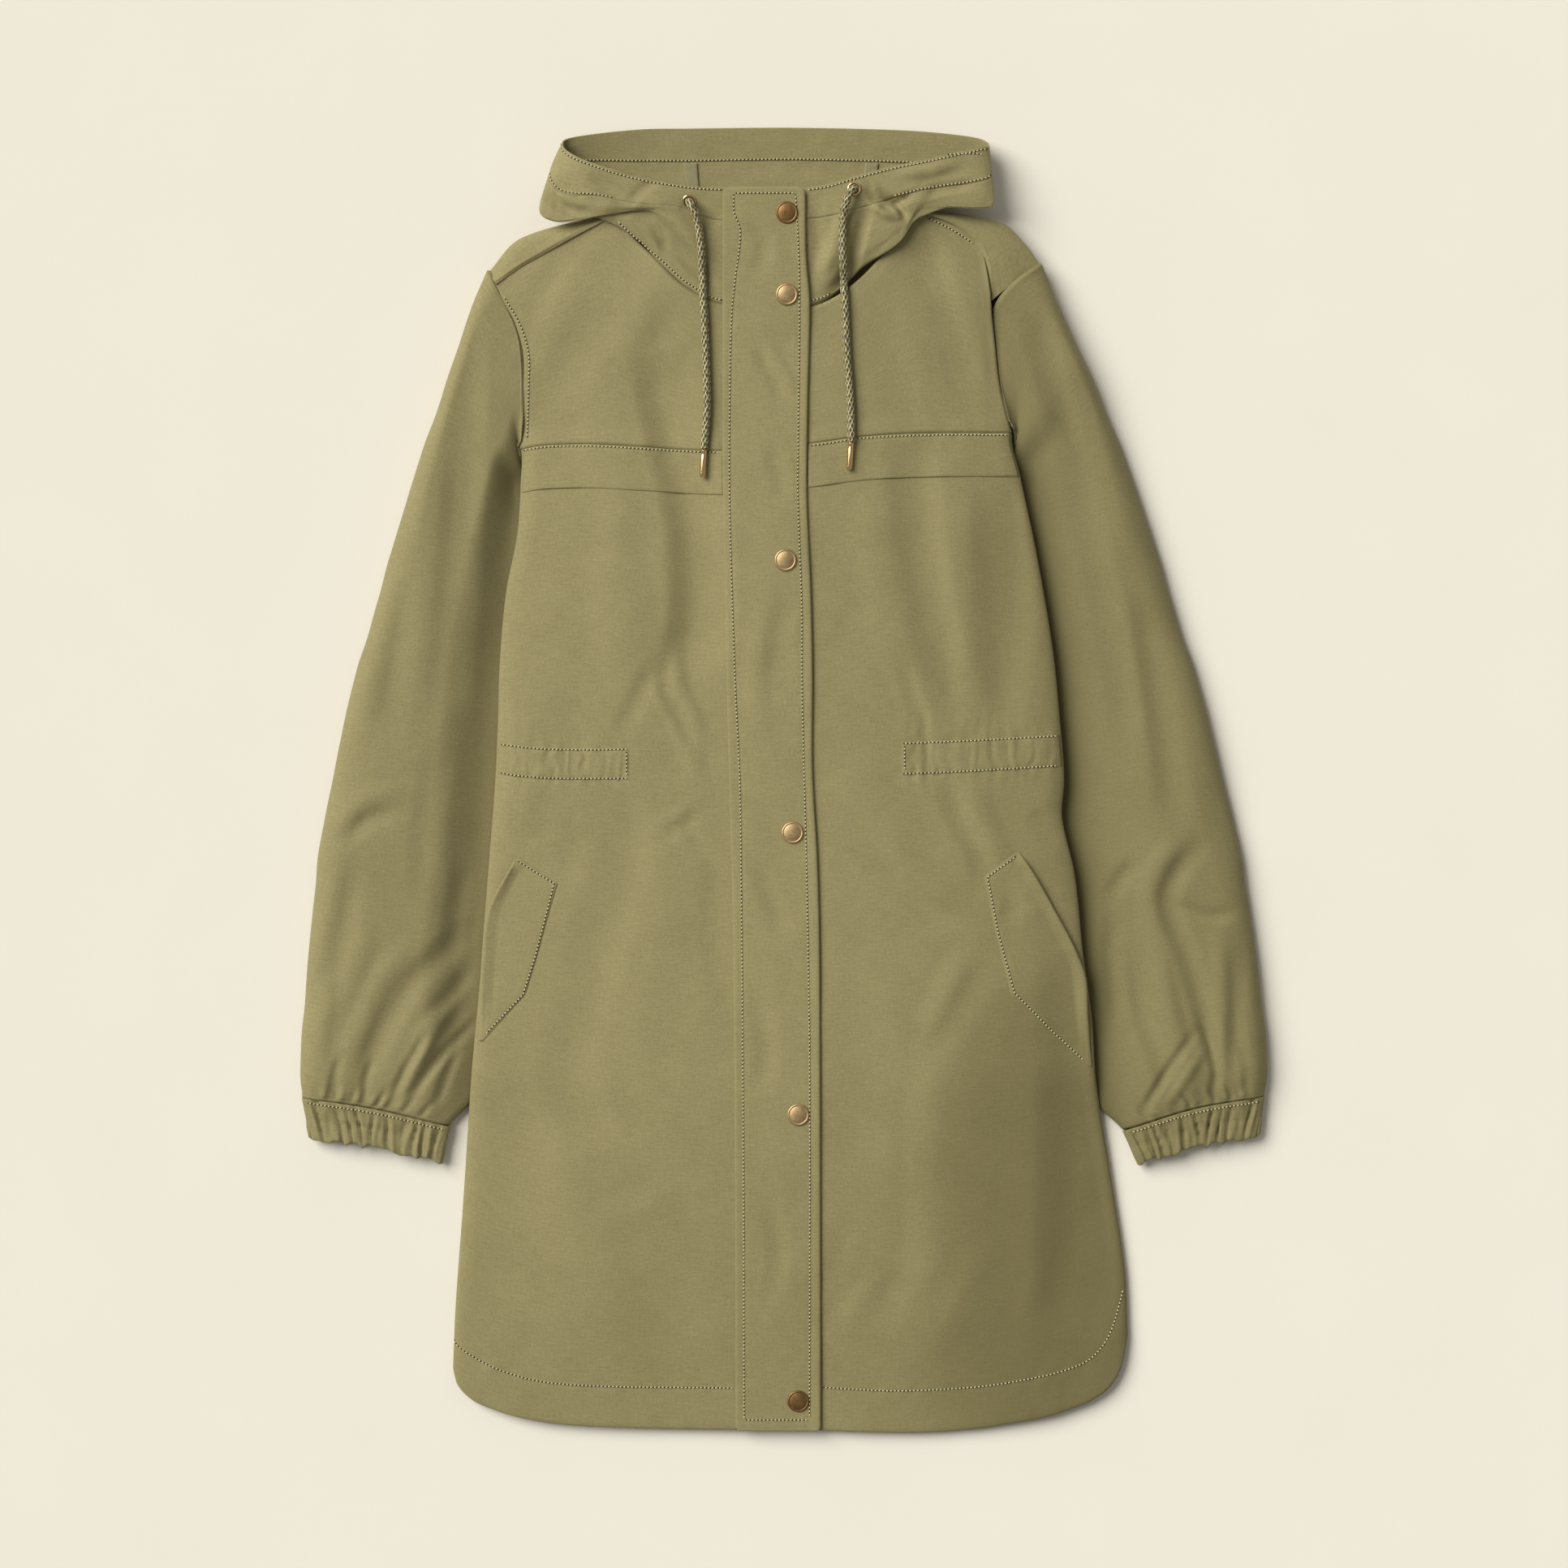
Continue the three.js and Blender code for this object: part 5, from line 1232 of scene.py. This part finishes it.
class PARKA_OT_front_pieces(bpy.types.Operator):
    """Make the storm flaps, waist casings, pockets and placket that lie on the fronts"""
    bl_idname = "parka.front_pieces"
    bl_label = "Flaps, casings, pockets and placket"

    def piece(self, name, node, x0, x1, y0, y1, us, vs, lift, thick, height=front):
        """One sheet on a front, between four sides, lifted off it by a function of the place."""
        x, y = patch(x0, x1, y0, y1, us, vs)
        made = cloth(f"{name}_cloth", np.stack([x, y, height(x, y)], -1), looks()["Olive cotton"],
                     lift=lift(x, y), thick=thick)
        rides(made, node)
        rests = "front_left_cloth" if x.mean() < 0 else "front_right_cloth"
        return made

    def flaps(self, step):
        for side, x0, x1, seam, row in [
                ("left", moved(LEFT_EDGE, 1.6), always(-42.6), LEFT_YOKE_SEAM, YOKE_STITCH_LEFT),
                ("right", always(17.2), moved(RIGHT_EDGE, -1.6), RIGHT_YOKE_SEAM, YOKE_STITCH_RIGHT)]:
            free = moved(seam, -FLAP_DEEP)

            def lift(x, y):
                down = clamp((seam(x) - y) / FLAP_DEEP)
                wave = 0.5 * noise(x / 15, y / 60, 41) * down ** 2
                return FLAP_OVER + wave + 0.15 * down ** 2 - falls(y - free(x), 1.6, 0.35)

            us = steps(0, 1, 145 / step)
            vs = np.concatenate([[0, 0.01, 0.03], steps(0.06, 1, 29 / step)])
            made = self.piece(f"flap_{side}", f"storm_flap_{side}", x0, x1, free, moved(seam, -SEAM), us, vs, lift,
                              FLAP_THICK)
            sew(made, row)

    def casings(self, step):
        for side, x0, x1, low, high, end, rows in [
                ("left", moved(LEFT_EDGE, 1.6), always(-108), *CASING_EDGES_LEFT, -108, CASING_LEFT),
                ("right", always(82), moved(RIGHT_EDGE, -1.6), *CASING_EDGES_RIGHT, 82, CASING_RIGHT)]:
            def lift(x, y):
                near = np.minimum(np.minimum(y - low(x), high(x) - y), np.abs(x - end))
                return CASING_OVER - falls(near, 4, 0.66)

            made = self.piece(f"casing_{side}", f"waist_casing_{side}", x0, x1, low, high,
                              steps(0, 1, 110 / step), steps(0, 1, 24 / step), lift, CASING_THICK)
            for row in rows:
                sew(made, row)

    def pockets(self, step):
        for side, y0, y1, mouth, sewn, row in [
                ("left", -184, -55, LEFT_MOUTH, LEFT_SEWN, POCKET_LEFT),
                ("right", -202, -51, RIGHT_MOUTH, RIGHT_SEWN, POCKET_RIGHT)]:
            def lift(x, y):
                off = np.abs(x - mouth(y))
                near = np.minimum(np.abs(x - sewn(y)) * 0.85, np.minimum(y - y0, y1 - y) + 0.6)
                lips = clamp(off / 3)
                bead = 0.4 * smooth(np.abs(mouth(y) - sewn(y)) / 20) * (1 - lips) * lips * 4
                gaping = smooth(1 - off / 9) * smooth((y - y0 - 12) / 30) * smooth((y1 - y) / 10)
                return POCKET_OVER - falls(near, 2.4, 0.6) + bead + MOUTH_LIFT * gaping

            x0, x1 = (mouth, sewn) if side == "left" else (sewn, mouth)
            made = self.piece(f"pocket_{side}", f"pocket_{side}", x0, x1, always(y0), always(y1),
                              steps(0, 1, 58 / step), steps(0, 1, 140 / step), lift, POCKET_THICK)
            sew(made, row)

    def placket(self, step):
        def corner(y):
            high, low = clamp((y - PLACKET_TOP + 6) / 6), clamp((HEM_Y + 3 - y) / 3)
            return 6 * (1 - np.sqrt(1 - high ** 2)) + 3 * (1 - np.sqrt(1 - low ** 2))

        def lift(x, y):
            left, right = x - PLACKET_LEFT(y), PLACKET_RIGHT(y) - x
            edge = 0.55 * smooth(1 - right / 9) + 0.35 * noise(y / 34, 0 * y, 51) * smooth(1 - right / 14)
            drop = falls(left, 2.4, 0.3) + falls(right, 2.2, 0.8) + falls(PLACKET_TOP - y, 2, 0.6)
            return PLACKET_OVER + 0.9 * smooth(left / 34) + np.maximum(edge, 0) - drop

        us = np.concatenate([[0, 0.012, 0.03], steps(0.05, 0.95, 54 / step), [0.97, 0.988, 1]])
        vs = np.concatenate([[0, 0.001], steps(0.003, 0.985, 850 / (step * 1.5)), steps(0.987, 1, 14)])
        made = self.piece("placket", "placket", lambda y: PLACKET_LEFT(y) + corner(y),
                          lambda y: PLACKET_RIGHT(y) - corner(y), always(HEM_Y - 0.4), always(PLACKET_TOP),
                          us, vs, lift, PLACKET_THICK, placket_front)
        for row in [PLACKET_STITCH_LEFT, PLACKET_STITCH_RIGHT, [(-34.6, 410.4), (8, 410.4)],
                    [(-27.6, -451.5), (17.6, -451.5)]]:
            sew(made, row)

    def execute(self, context):
        step = context.scene.parka.cloth_step / MM * 0.62
        self.flaps(step)
        self.casings(step)
        self.pockets(step)
        self.placket(step)
        return {"FINISHED"}


class PARKA_OT_sleeves(bpy.types.Operator):
    """Make the two sleeves and their gathered cuffs"""
    bl_idname = "parka.sleeves"
    bl_label = "Sleeves and cuffs"

    def sleeve(self, side, stations, table, step):
        roll = 0.5 * ROLL_SHARE * (1 - np.cos(steps(0, math.pi / 2, 7)))
        top = np.concatenate([roll, steps(roll[-1], 0.5 - roll[-1], 110 / step)[1:-1], 0.5 - roll[::-1]])
        low = np.concatenate([roll, steps(roll[-1], 0.5 - roll[-1], 60 / step)[1:-1], 0.5 - roll[::-1]])
        us = np.concatenate([top, 0.5 + low[1:-1]])
        left = side == "left"
        us = -us[::-1] if left else us
        u, v = np.meshgrid(us, steps(0, 1, SLEEVE_LONG / step))
        p, upper, share = flat_tube(stations, -u if left else u, v)
        x, y = p[..., 0], p[..., 1]
        deep = bpy.context.scene.parka.fold_depth
        rise = deep * folds(x, y, table)
        rise += deep * (1.0 * noise(x / 44, y / 70, 61) + 0.3 * noise(x / 19, y / 32, 62))
        ends = smooth((1 - v) * SLEEVE_LONG / 9) * smooth(v * SLEEVE_LONG / 8)
        cuff_near = smooth(1 - (1 - v) * SLEEVE_LONG / 64)
        around = np.where(share < 1, share * 130, 0)
        gather = np.cos(2 * math.pi * (around + 6.0 * noise(around / 18, y / 40, 63)) / 12.5)
        gather += 0.5 * np.cos(2 * math.pi * around / 7.3 + 1)
        reach = 0.5 + 0.5 * noise(around / 13, 0 * y, 64)
        rise += deep * (0.9 + 0.7 * noise(around / 17, y / 40, 67)) * gather * cuff_near ** (1 + 2 * reach)
        p[..., 2] += rise * upper * ends
        edge = np.where(share < 0.5, 1 - clamp(share / 0.1), 0) * smooth((v - 0.1) / 0.1) * smooth((1 - v) / 0.06)
        wobble = 1.1 * noise(y / 26, 0 * y, 65) + 0.8 * cuff_near * noise(y / 7, 0 * y, 66)
        p[..., 0] += edge * wobble * (-1 if left else 1)
        p = tuck(p, "first", smooth(2 * upper[0]), around=True)
        p = tuck(p, "last", 1.5 * smooth(2 * upper[0]), around=True)
        piece = cloth(f"sleeve_{side}_cloth", p, looks()["Olive cotton"], around=True)
        rides(piece, f"sleeve_{side}")

    def cuff(self, side, seam, end, step):
        ends = [points_through(seam), points_through(end)]
        way = -1 if seam[0][0] < 0 else 1
        vs = np.concatenate([[0, 0.03], steps(0.07, 0.93, 28 / step), [0.97, 1]])
        u, v = np.meshgrid(steps(0, 1, 230 / step)[:-1], vs)
        angle = u * 2 * math.pi * way
        share = (1 - np.cos(angle)) / 2
        across = share * 104
        warped = across + 5.5 * noise(across / 13, v * 1.1, 71) + np.where(np.sin(angle) > 0, 0, 37)
        pleat = 3.0 * np.abs(np.cos(math.pi * warped / 9.6)) ** 0.5 - 2.0 + 0.4 * np.cos(2 * math.pi * warped / 5.1)
        pleat = pleat * (0.8 + 0.5 * noise(across / 9, v * 2, 72)) + 0.4 * noise(across / 2.6, v * 3, 74)
        pleat *= smooth(2.4 * np.abs(np.sin(angle)))
        band = falls(v * CUFF_LONG, 2.2, 0.25) + falls((1 - v) * CUFF_LONG, 3.0, 1.0)
        seam_line = 0.55 * np.exp(-((v - 0.5) * CUFF_LONG / 3.5) ** 2)
        half = mix(14.5, 13.5, v) / 2
        up = np.sign(np.sin(angle)) * np.abs(np.sin(angle)) ** 0.6
        begun = smooth(v / 0.35)
        z = half + up * (half - mix(0.2, 1.5, begun) + mix(0.6, 1.5, begun) * pleat - band - seam_line)
        flat = mix(ends[0](2 * share), ends[1](2 * share), v[..., None])
        bulge = 0.5 * noise(v * 4, 0 * v, 73 + way) * (1 - np.abs(np.sin(angle))) * way
        frill = 1.8 * noise(across / 4.2, 0 * v, 75) * smooth((v - 0.6) / 0.4)
        p = np.stack([flat[..., 0] - bulge * np.cos(angle), flat[..., 1] + frill, z], -1)
        piece = cloth(f"cuff_{side}_cloth", p, looks()["Olive cotton"], around=True)
        rides(piece, f"cuff_{side}")
        line = mix(ends[0](steps(0.06, 1.94, 11)), ends[1](steps(0.06, 1.94, 11)), 0.1)
        sew(piece, line)
        sew(piece, line, below=True)

    def execute(self, context):
        step = context.scene.parka.cloth_step / MM
        self.sleeve("left", LEFT_SLEEVE, LEFT_SLEEVE_FOLDS, step)
        self.sleeve("right", RIGHT_SLEEVE, RIGHT_SLEEVE_FOLDS, step)
        self.cuff("left", [[-340.2, -224.6], [-290, -232], [-236, -245]],
                  [[-336, -253.5], [-288, -260], [-241, -270.5]], 0.45 * step)
        self.cuff("right", [[339.2, -223.6], [290, -232], [239, -248]],
                  [[336, -251.5], [290, -260], [250, -271.5]], 0.45 * step)
        return {"FINISHED"}


class PARKA_OT_hood(bpy.types.Operator):
    """Make the collapsed hood: its band, two sides, centre and inside tapes"""
    bl_idname = "parka.hood"
    bl_label = "Hood"

    def execute(self, context):
        step = context.scene.parka.cloth_step / MM
        fine = 44 / step
        below, gap = 1.003, 0.008
        band_rows = np.concatenate([[0, 0.03, 0.08], steps(0.14, 1, 30 / step)])
        side_rows = steps(below, 4, 105 / step)
        parts = [
            ("hood_band", steps(0, 20, 20 * fine * 0.8), band_rows),
            ("hood_side_left", steps(0, CENTRE_FROM - gap, 9 * fine * 0.9), side_rows),
            ("hood_centre", steps(CENTRE_FROM, CENTRE_TO, 2.1 * fine * 1.2), side_rows),
            ("hood_side_right", steps(CENTRE_TO + gap, 20, 9 * fine * 0.9), side_rows),
        ]
        for name, ss, rs in parts:
            s, r = np.meshgrid(ss, rs)
            p = hood_at(s, r)
            if name != "hood_band":
                p = tuck(p, "first", smooth((p[0, :, 2] - 12) / 6))
            if "side" in name:
                p = tuck(p, "last", smooth((p[-1, :, 2] - 23) / 2))
            piece = cloth(f"{name}_cloth", p, looks()["Olive cotton"])
            rides(piece, name)
        for side, at in [("left", CENTRE_FROM), ("right", CENTRE_TO)]:
            s, r = np.meshgrid(steps(at - 0.1, at + 0.1, 8), steps(1.03, 2.9, 30))
            piece = cloth(f"hood_tape_{side}_cloth", hood_at(s, r), looks()["Olive tape"],
                          lift=-CLOTH - 0.35, thick=TAPE_THICK)
            rides(piece, f"hood_tape_{side}")
        for name, s0, s1, row in HOOD_STITCHES:
            s = steps(s0, s1, (s1 - s0) * 8)
            sew(bpy.data.objects[name], hood_at(s, np.full(s.shape, row))[:, :2])
        return {"FINISHED"}


def centripetal(points, count):
    """A smooth path through points, evenly cut."""
    points = np.asarray(points, float)
    points = np.concatenate([[2 * points[0] - points[1]], points, [2 * points[-1] - points[-2]]])
    found = []
    for p0, p1, p2, p3 in zip(points, points[1:], points[2:], points[3:]):
        t1 = np.linalg.norm(p1 - p0) ** 0.5
        t2 = t1 + np.linalg.norm(p2 - p1) ** 0.5
        t3 = t2 + np.linalg.norm(p3 - p2) ** 0.5
        t = np.linspace(t1, t2, 40, endpoint=False)[:, None]
        a1, a2 = p0 + (p1 - p0) * t / t1, p1 + (p2 - p1) * (t - t1) / (t2 - t1)
        a3 = p2 + (p3 - p2) * (t - t2) / (t3 - t2)
        b1, b2 = a1 + (a2 - a1) * t / t2, a2 + (a3 - a2) * (t - t1) / (t3 - t1)
        found.append(b1 + (b2 - b1) * (t - t1) / (t2 - t1))
    found = np.concatenate([*found, points[-2:-1]])
    at = np.concatenate([[0], np.cumsum(np.linalg.norm(np.diff(found, axis=0), axis=1))])
    even = np.linspace(0, at[-1], count)
    return np.stack([np.interp(even, at, found[:, k]) for k in range(3)], -1)


class PARKA_OT_cords(bpy.types.Operator):
    """Make the two braided drawcords with their eyelets and aglets"""
    bl_idname = "parka.cords"
    bl_label = "Drawcords, eyelets and aglets"

    def settle(self, path):
        """Rests a path on the cloth under it, from where it comes down on it."""
        path = path.copy()
        under = [bpy.data.objects[name + "_cloth"] for name in (
            "yoke_left", "yoke_right", "placket", "flap_left", "flap_right", "hood_side_left", "hood_side_right",
            "hood_band")]
        low = []
        for x, y, _ in path:
            tops = [drop_on(piece, x + dx, y) for piece in under for dx in (-1.5, 0, 1.5)]
            low.append(max([t[0][2] for t in tops if t], default=30) + CORD_R + CORD_CLEAR)
        low = np.array(low)
        wide = np.array([low[max(0, i - 4): i + 5].max() for i in range(len(low))])
        soft = np.convolve(np.pad(wide, 6, mode="edge"), np.ones(13) / 13, mode="valid")
        down = smooth((408 - path[:, 1]) / 36)
        path[:, 2] = np.maximum(mix(path[:, 2], soft, down), np.where(down > 0.3, low, 0))
        return path

    def tube(self, side, path):
        """The braid itself, swept along its path."""
        rings, around = len(path), CORD_SIDES
        along = np.concatenate([[0], np.cumsum(np.linalg.norm(np.diff(path, axis=0), axis=1))])
        forward = unit(np.gradient(path, axis=0))
        out = [unit(np.cross(forward[0], [1, 0.2, 0.1]))]
        for f in forward[1:]:
            out.append(unit(out[-1] - np.dot(out[-1], f) * f))
        out = np.array(out)[:, None]
        other = np.cross(forward[:, None], out)
        turn = steps(0, 1, around)[:-1]
        angle = 2 * math.pi * turn[None, :, None]
        braid = np.maximum(np.sin(6 * angle[..., 0] + along[:, None] * 1.05),
                           np.sin(6 * angle[..., 0] - along[:, None] * 1.05))
        end = np.sqrt(clamp(np.minimum(along, along[-1] - along)[:, None] / 1.0 + 0.35))
        radius = (CORD_R - 0.12 + 0.13 * braid) * np.minimum(end, 1)
        points = path[:, None] + radius[..., None] * (np.cos(angle) * out + np.sin(angle) * other)
        lay = np.stack(np.broadcast_arrays(turn[None], along[:, None], 0 * braid), -1)
        faces = [grid_faces(rings, around, True), np.arange(around)[::-1][None],
                 ((rings - 1) * around + np.arange(around))[None]]
        return mesh_object(f"cord_{side}", points, faces, looks()["Braided cord"], {"lay": lay.reshape(-1, 3)})

    def execute(self, context):
        bpy.context.view_layer.update()
        for side, route, (s, r) in [("left", LEFT_CORD, EYELETS[0]), ("right", RIGHT_CORD, EYELETS[1])]:
            h = 0.01
            here = hood_at(s, r)
            n = unit(np.cross(hood_at(s + h, r) - hood_at(s - h, r), hood_at(s, r + h) - hood_at(s, r - h)))
            path = self.settle(centripetal([here + 1.0 * n, here + 2.6 * n, *route], CORD_RINGS))
            piece = self.tube(side, path)
            rides(piece, f"drawcord_{side}", slot="cord")
            brass = looks()["Bright brass"]
            eyelet = turned(f"eyelet_{side}_ring", EYELET_SECTION, here + 0.45 * n, n, brass)
            rides(eyelet, f"eyelet_{side}", slot="bright_brass")
            dip = unit(CORD_DIP)
            aglet = turned(f"aglet_{side}_tube", AGLET_SECTION, path[-1] + 2 * SEAM * dip, dip, brass, around=28)
            rides(aglet, f"aglet_{side}", slot="bright_brass")
            [tuple(p * MM) for p in path[::3]]
        return {"FINISHED"}


class PARKA_OT_snaps(bpy.types.Operator):
    """Make the six domed snaps down the placket"""
    bl_idname = "parka.snaps"
    bl_label = "Snaps"

    def execute(self, context):
        bpy.context.view_layer.update()
        cloth_piece = bpy.data.objects["placket_cloth"]
        for i, (x, y) in enumerate(SNAPS):
            ring = [drop_on(cloth_piece, x + 6 * math.cos(a), y + 6 * math.sin(a))[0]
                    for a in np.arange(8) * math.pi / 4]
            middle, across = np.mean(ring, 0), np.array(ring) - np.mean(ring, 0)
            n = unit(np.linalg.svd(across)[2][2])
            n = n if n[2] > 0 else -n
            top = max(float(np.dot(a, n)) for a in across)
            look = looks()["Darkened brass" if i in (0, 5) else "Antique brass"]
            snap = turned(f"snap_{i + 1}_cap", SNAP_SECTION, middle + n * (top + 0.2), n, look, around=56)
            rides(snap, f"snap_{i + 1}", slot="antique_brass")
        return {"FINISHED"}


class PARKA_OT_stitches(bpy.types.Operator):
    """Make the stitches, and the dark discs of painted shade at their needle holes, on all the rows marked on the
    pieces
    """
    bl_idname = "parka.stitches"
    bl_label = "Stitches"

    def places(self, kind):
        """The places of the stitches, with the ways along them, off the cloth and across them."""
        p, t, n = (np.array(rows) for rows in zip(*SEWN[kind]))
        t = unit(t - n * (n * t).sum(-1, keepdims=True))
        return p, t, n, np.cross(n, t)

    def execute(self, context):
        settings = context.scene.parka
        radius, long = settings.thread_radius / MM, 0.62 * settings.stitch_pitch / MM
        sides, angle = THREAD_SIDES, steps(0, 2 * math.pi, THREAD_SIDES)[:-1]
        p, t, n, b = self.places("threads")
        # Each stitch has four rings: how far along it is, its size, and how high.
        along, size, high = np.array([(-0.5, 0.4, -0.16), (-0.3, 1.0, 0.1), (0.3, 1.0, 0.1),
                                      (0.5, 0.4, -0.16)]).T[..., None, None]
        at = p[:, None, None] + along * long * t[:, None, None] + n[:, None, None] * (high + 0.4 * radius)
        ring = np.cos(angle)[:, None] * b[:, None, None] + np.sin(angle)[:, None] * n[:, None, None]
        points = at + size * radius * ring
        points[..., 2] = np.maximum(points[..., 2], LOWEST)
        one = grid_faces(4, sides, True)[:, ::-1]
        caps = np.stack([np.arange(sides), 3 * sides + np.arange(sides)[::-1]])
        first = (np.arange(len(p)) * 4 * sides)[:, None, None]
        thread = mesh_object("stitches", points, [(one + first).reshape(-1, 4), (caps + first).reshape(-1, sides)],
                             looks()["Sewing thread"])
        rides(thread)
        # Flat dark discs at each needle hole: painted shade in the holes.
        p, t, n, b = self.places("holes")
        ring = np.cos(angle)[:, None] * 0.7 * t[:, None] + np.sin(angle)[:, None] * 0.66 * b[:, None]
        points = p[:, None] + ring + n[:, None] * 0.05
        first = (np.arange(len(p)) * sides)[:, None]
        holes = mesh_object("needle_holes", points, [np.arange(sides) + first], looks()["Needle hole"])
        rides(holes)
        return {"FINISHED"}


class ParkaSettings(bpy.types.PropertyGroup):
    """Sizes and strengths that the parts of the coat share"""
    cloth_step: bpy.props.FloatProperty(
        name="Cloth step", description="Distance between the points of the cloth", default=0.0024, min=0.001,
        max=0.01, unit="LENGTH")
    fold_depth: bpy.props.FloatProperty(
        name="Fold depth", description="How deep the folds are, as a share of the usual", default=1.0, min=0.0,
        max=2.0, subtype="FACTOR")
    stitch_pitch: bpy.props.FloatProperty(
        name="Stitch pitch", description="Distance from one stitch to the next", default=0.0027, min=0.001,
        max=0.01, unit="LENGTH")
    thread_radius: bpy.props.FloatProperty(
        name="Thread radius", description="Radius of the sewing thread", default=0.0005, min=0.0001, max=0.001,
        unit="LENGTH")
    weave_pitch: bpy.props.FloatProperty(
        name="Weave pitch", description="Distance over which the weave repeats", default=0.0011, min=0.0002,
        max=0.01, unit="LENGTH")
    weave_depth: bpy.props.FloatProperty(
        name="Weave depth", description="Strength of the relief of the weave", default=0.6, min=0.0, max=1.0,
        subtype="FACTOR")
    view_width: bpy.props.FloatProperty(
        name="View width", description="Width of the view at the coat", default=1.101, min=0.1, max=5,
        unit="LENGTH")
    sun_strength: bpy.props.FloatProperty(
        name="Sun strength", description="Strength of the light from the upper left", default=3.3, min=0, max=20)
    sun_width: bpy.props.FloatProperty(
        name="Sun width", description="Angle over which the light is spread", default=0.75, min=0, max=3,
        subtype="ANGLE")
    sky_strength: bpy.props.FloatProperty(
        name="Sky strength", description="Strength of the even light from all round", default=0.26, min=0, max=5)


def colour(name, description, default):
    return bpy.props.FloatVectorProperty(name=name, description=description, default=default, size=4, min=0,
                                         max=1, subtype="COLOR")


class ParkaColours(bpy.types.PropertyGroup):
    """Colours of the cloth, the trims, the lights and the floor"""
    cotton_dark: colour("Dark cotton", "Darker tone of the cloth", srgb(136, 126, 82))
    cotton_light: colour("Light cotton", "Lighter tone of the cloth", srgb(168, 158, 112))
    # Painted shade: the colour the cloth is pulled to where the light falls off and in the shadow beside the body.
    cotton_painted_shade: colour("Painted cotton shade", "Tone of the cloth where it is deepest", srgb(100.64, 93.24, 54.12))
    tape_dark: colour("Dark tape", "Darker tone of the hood's tapes", srgb(134, 127, 92))
    tape_light: colour("Light tape", "Lighter tone of the hood's tapes", srgb(160, 153, 115))
    thread_dark: colour("Dark thread", "Darker tone of the stitches", srgb(186, 177, 134))
    thread_light: colour("Light thread", "Lighter tone of the stitches", srgb(224, 216, 176))
    # Painted shade: the dark colours of the discs that stand for the shade in the needle holes.
    hole_shade_dark: colour("Dark needle hole shade", "Darker tone of the needle holes", srgb(42, 37, 21))
    hole_shade_light: colour("Light needle hole shade", "Lighter tone of the needle holes", srgb(64, 57, 34))
    antique_dark: colour("Dark antique brass", "Darker tone of the snaps", srgb(150, 124, 82))
    antique_light: colour("Light antique brass", "Lighter tone of the snaps", srgb(228, 200, 150))
    darkened_dark: colour("Dark worn brass", "Darker tone of the top and bottom snaps", srgb(96, 74, 46))
    darkened_light: colour("Light worn brass", "Lighter tone of the top and bottom snaps", srgb(176, 138, 90))
    bright_dark: colour("Dark bright brass", "Darker tone of the eyelets and aglets", srgb(224, 180, 120))
    bright_light: colour("Light bright brass", "Lighter tone of the eyelets and aglets", srgb(250, 224, 174))
    # The braid runs from the dark cord colour in its grooves, as painted shade, to the light one on the strands'
    # crowns.
    cord_dark: colour("Dark cord", "Darker tone of the braid", srgb(70, 68, 45))
    cord_light: colour("Light cord", "Lighter tone of the braid", srgb(138, 133, 96))
    cord_gold: colour("Gold strand", "Tone of the braid's gold strands", srgb(214, 186, 112))
    cord_cream: colour("Cream strand", "Tone of the braid's cream strands", srgb(232, 222, 184))
    board_dark: colour("Dark board", "Darker tone of the floor", srgb(242, 237, 222))
    board_light: colour("Light board", "Lighter tone of the floor", srgb(245, 240, 226))
    sun: colour("Sun", "Colour of the light from the upper left", (1.0, 0.985, 0.96, 1.0))
    sky: colour("Sky", "Colour of the even light from all round", (1.0, 0.985, 0.95, 1.0))


STEPS = [PARKA_OT_stage, PARKA_OT_back, PARKA_OT_fronts, PARKA_OT_front_pieces, PARKA_OT_sleeves, PARKA_OT_hood,
         PARKA_OT_cords, PARKA_OT_snaps, PARKA_OT_stitches]


class PARKA_PT_panel(bpy.types.Panel):
    """Lists the steps of the coat"""
    bl_label = "Hooded parka"
    bl_idname = "PARKA_PT_panel"
    bl_space_type = "VIEW_3D"
    bl_region_type = "UI"
    bl_category = "Parka"

    def draw(self, context):
        for group in (context.scene.parka, context.scene.parka_colours):
            for name in type(group).__annotations__:
                self.layout.prop(group, name)
        for step in STEPS:
            self.layout.operator(step.bl_idname)


CLASSES = [ParkaSettings, ParkaColours, *STEPS, PARKA_PT_panel]


def register():
    for cls in CLASSES:
        bpy.utils.register_class(cls)
    bpy.types.Scene.parka = bpy.props.PointerProperty(type=ParkaSettings)
    bpy.types.Scene.parka_colours = bpy.props.PointerProperty(type=ParkaColours)


def unregister():
    del bpy.types.Scene.parka, bpy.types.Scene.parka_colours
    for cls in reversed(CLASSES):
        bpy.utils.unregister_class(cls)


def main():
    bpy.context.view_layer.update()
    register()
    bpy.ops.parka.stage()
    bpy.ops.parka.back()
    bpy.ops.parka.fronts()
    bpy.ops.parka.front_pieces()
    bpy.ops.parka.sleeves()
    bpy.ops.parka.hood()
    bpy.ops.parka.cords()
    bpy.ops.parka.snaps()
    bpy.ops.parka.stitches()


if __name__ == "__main__":
    main()
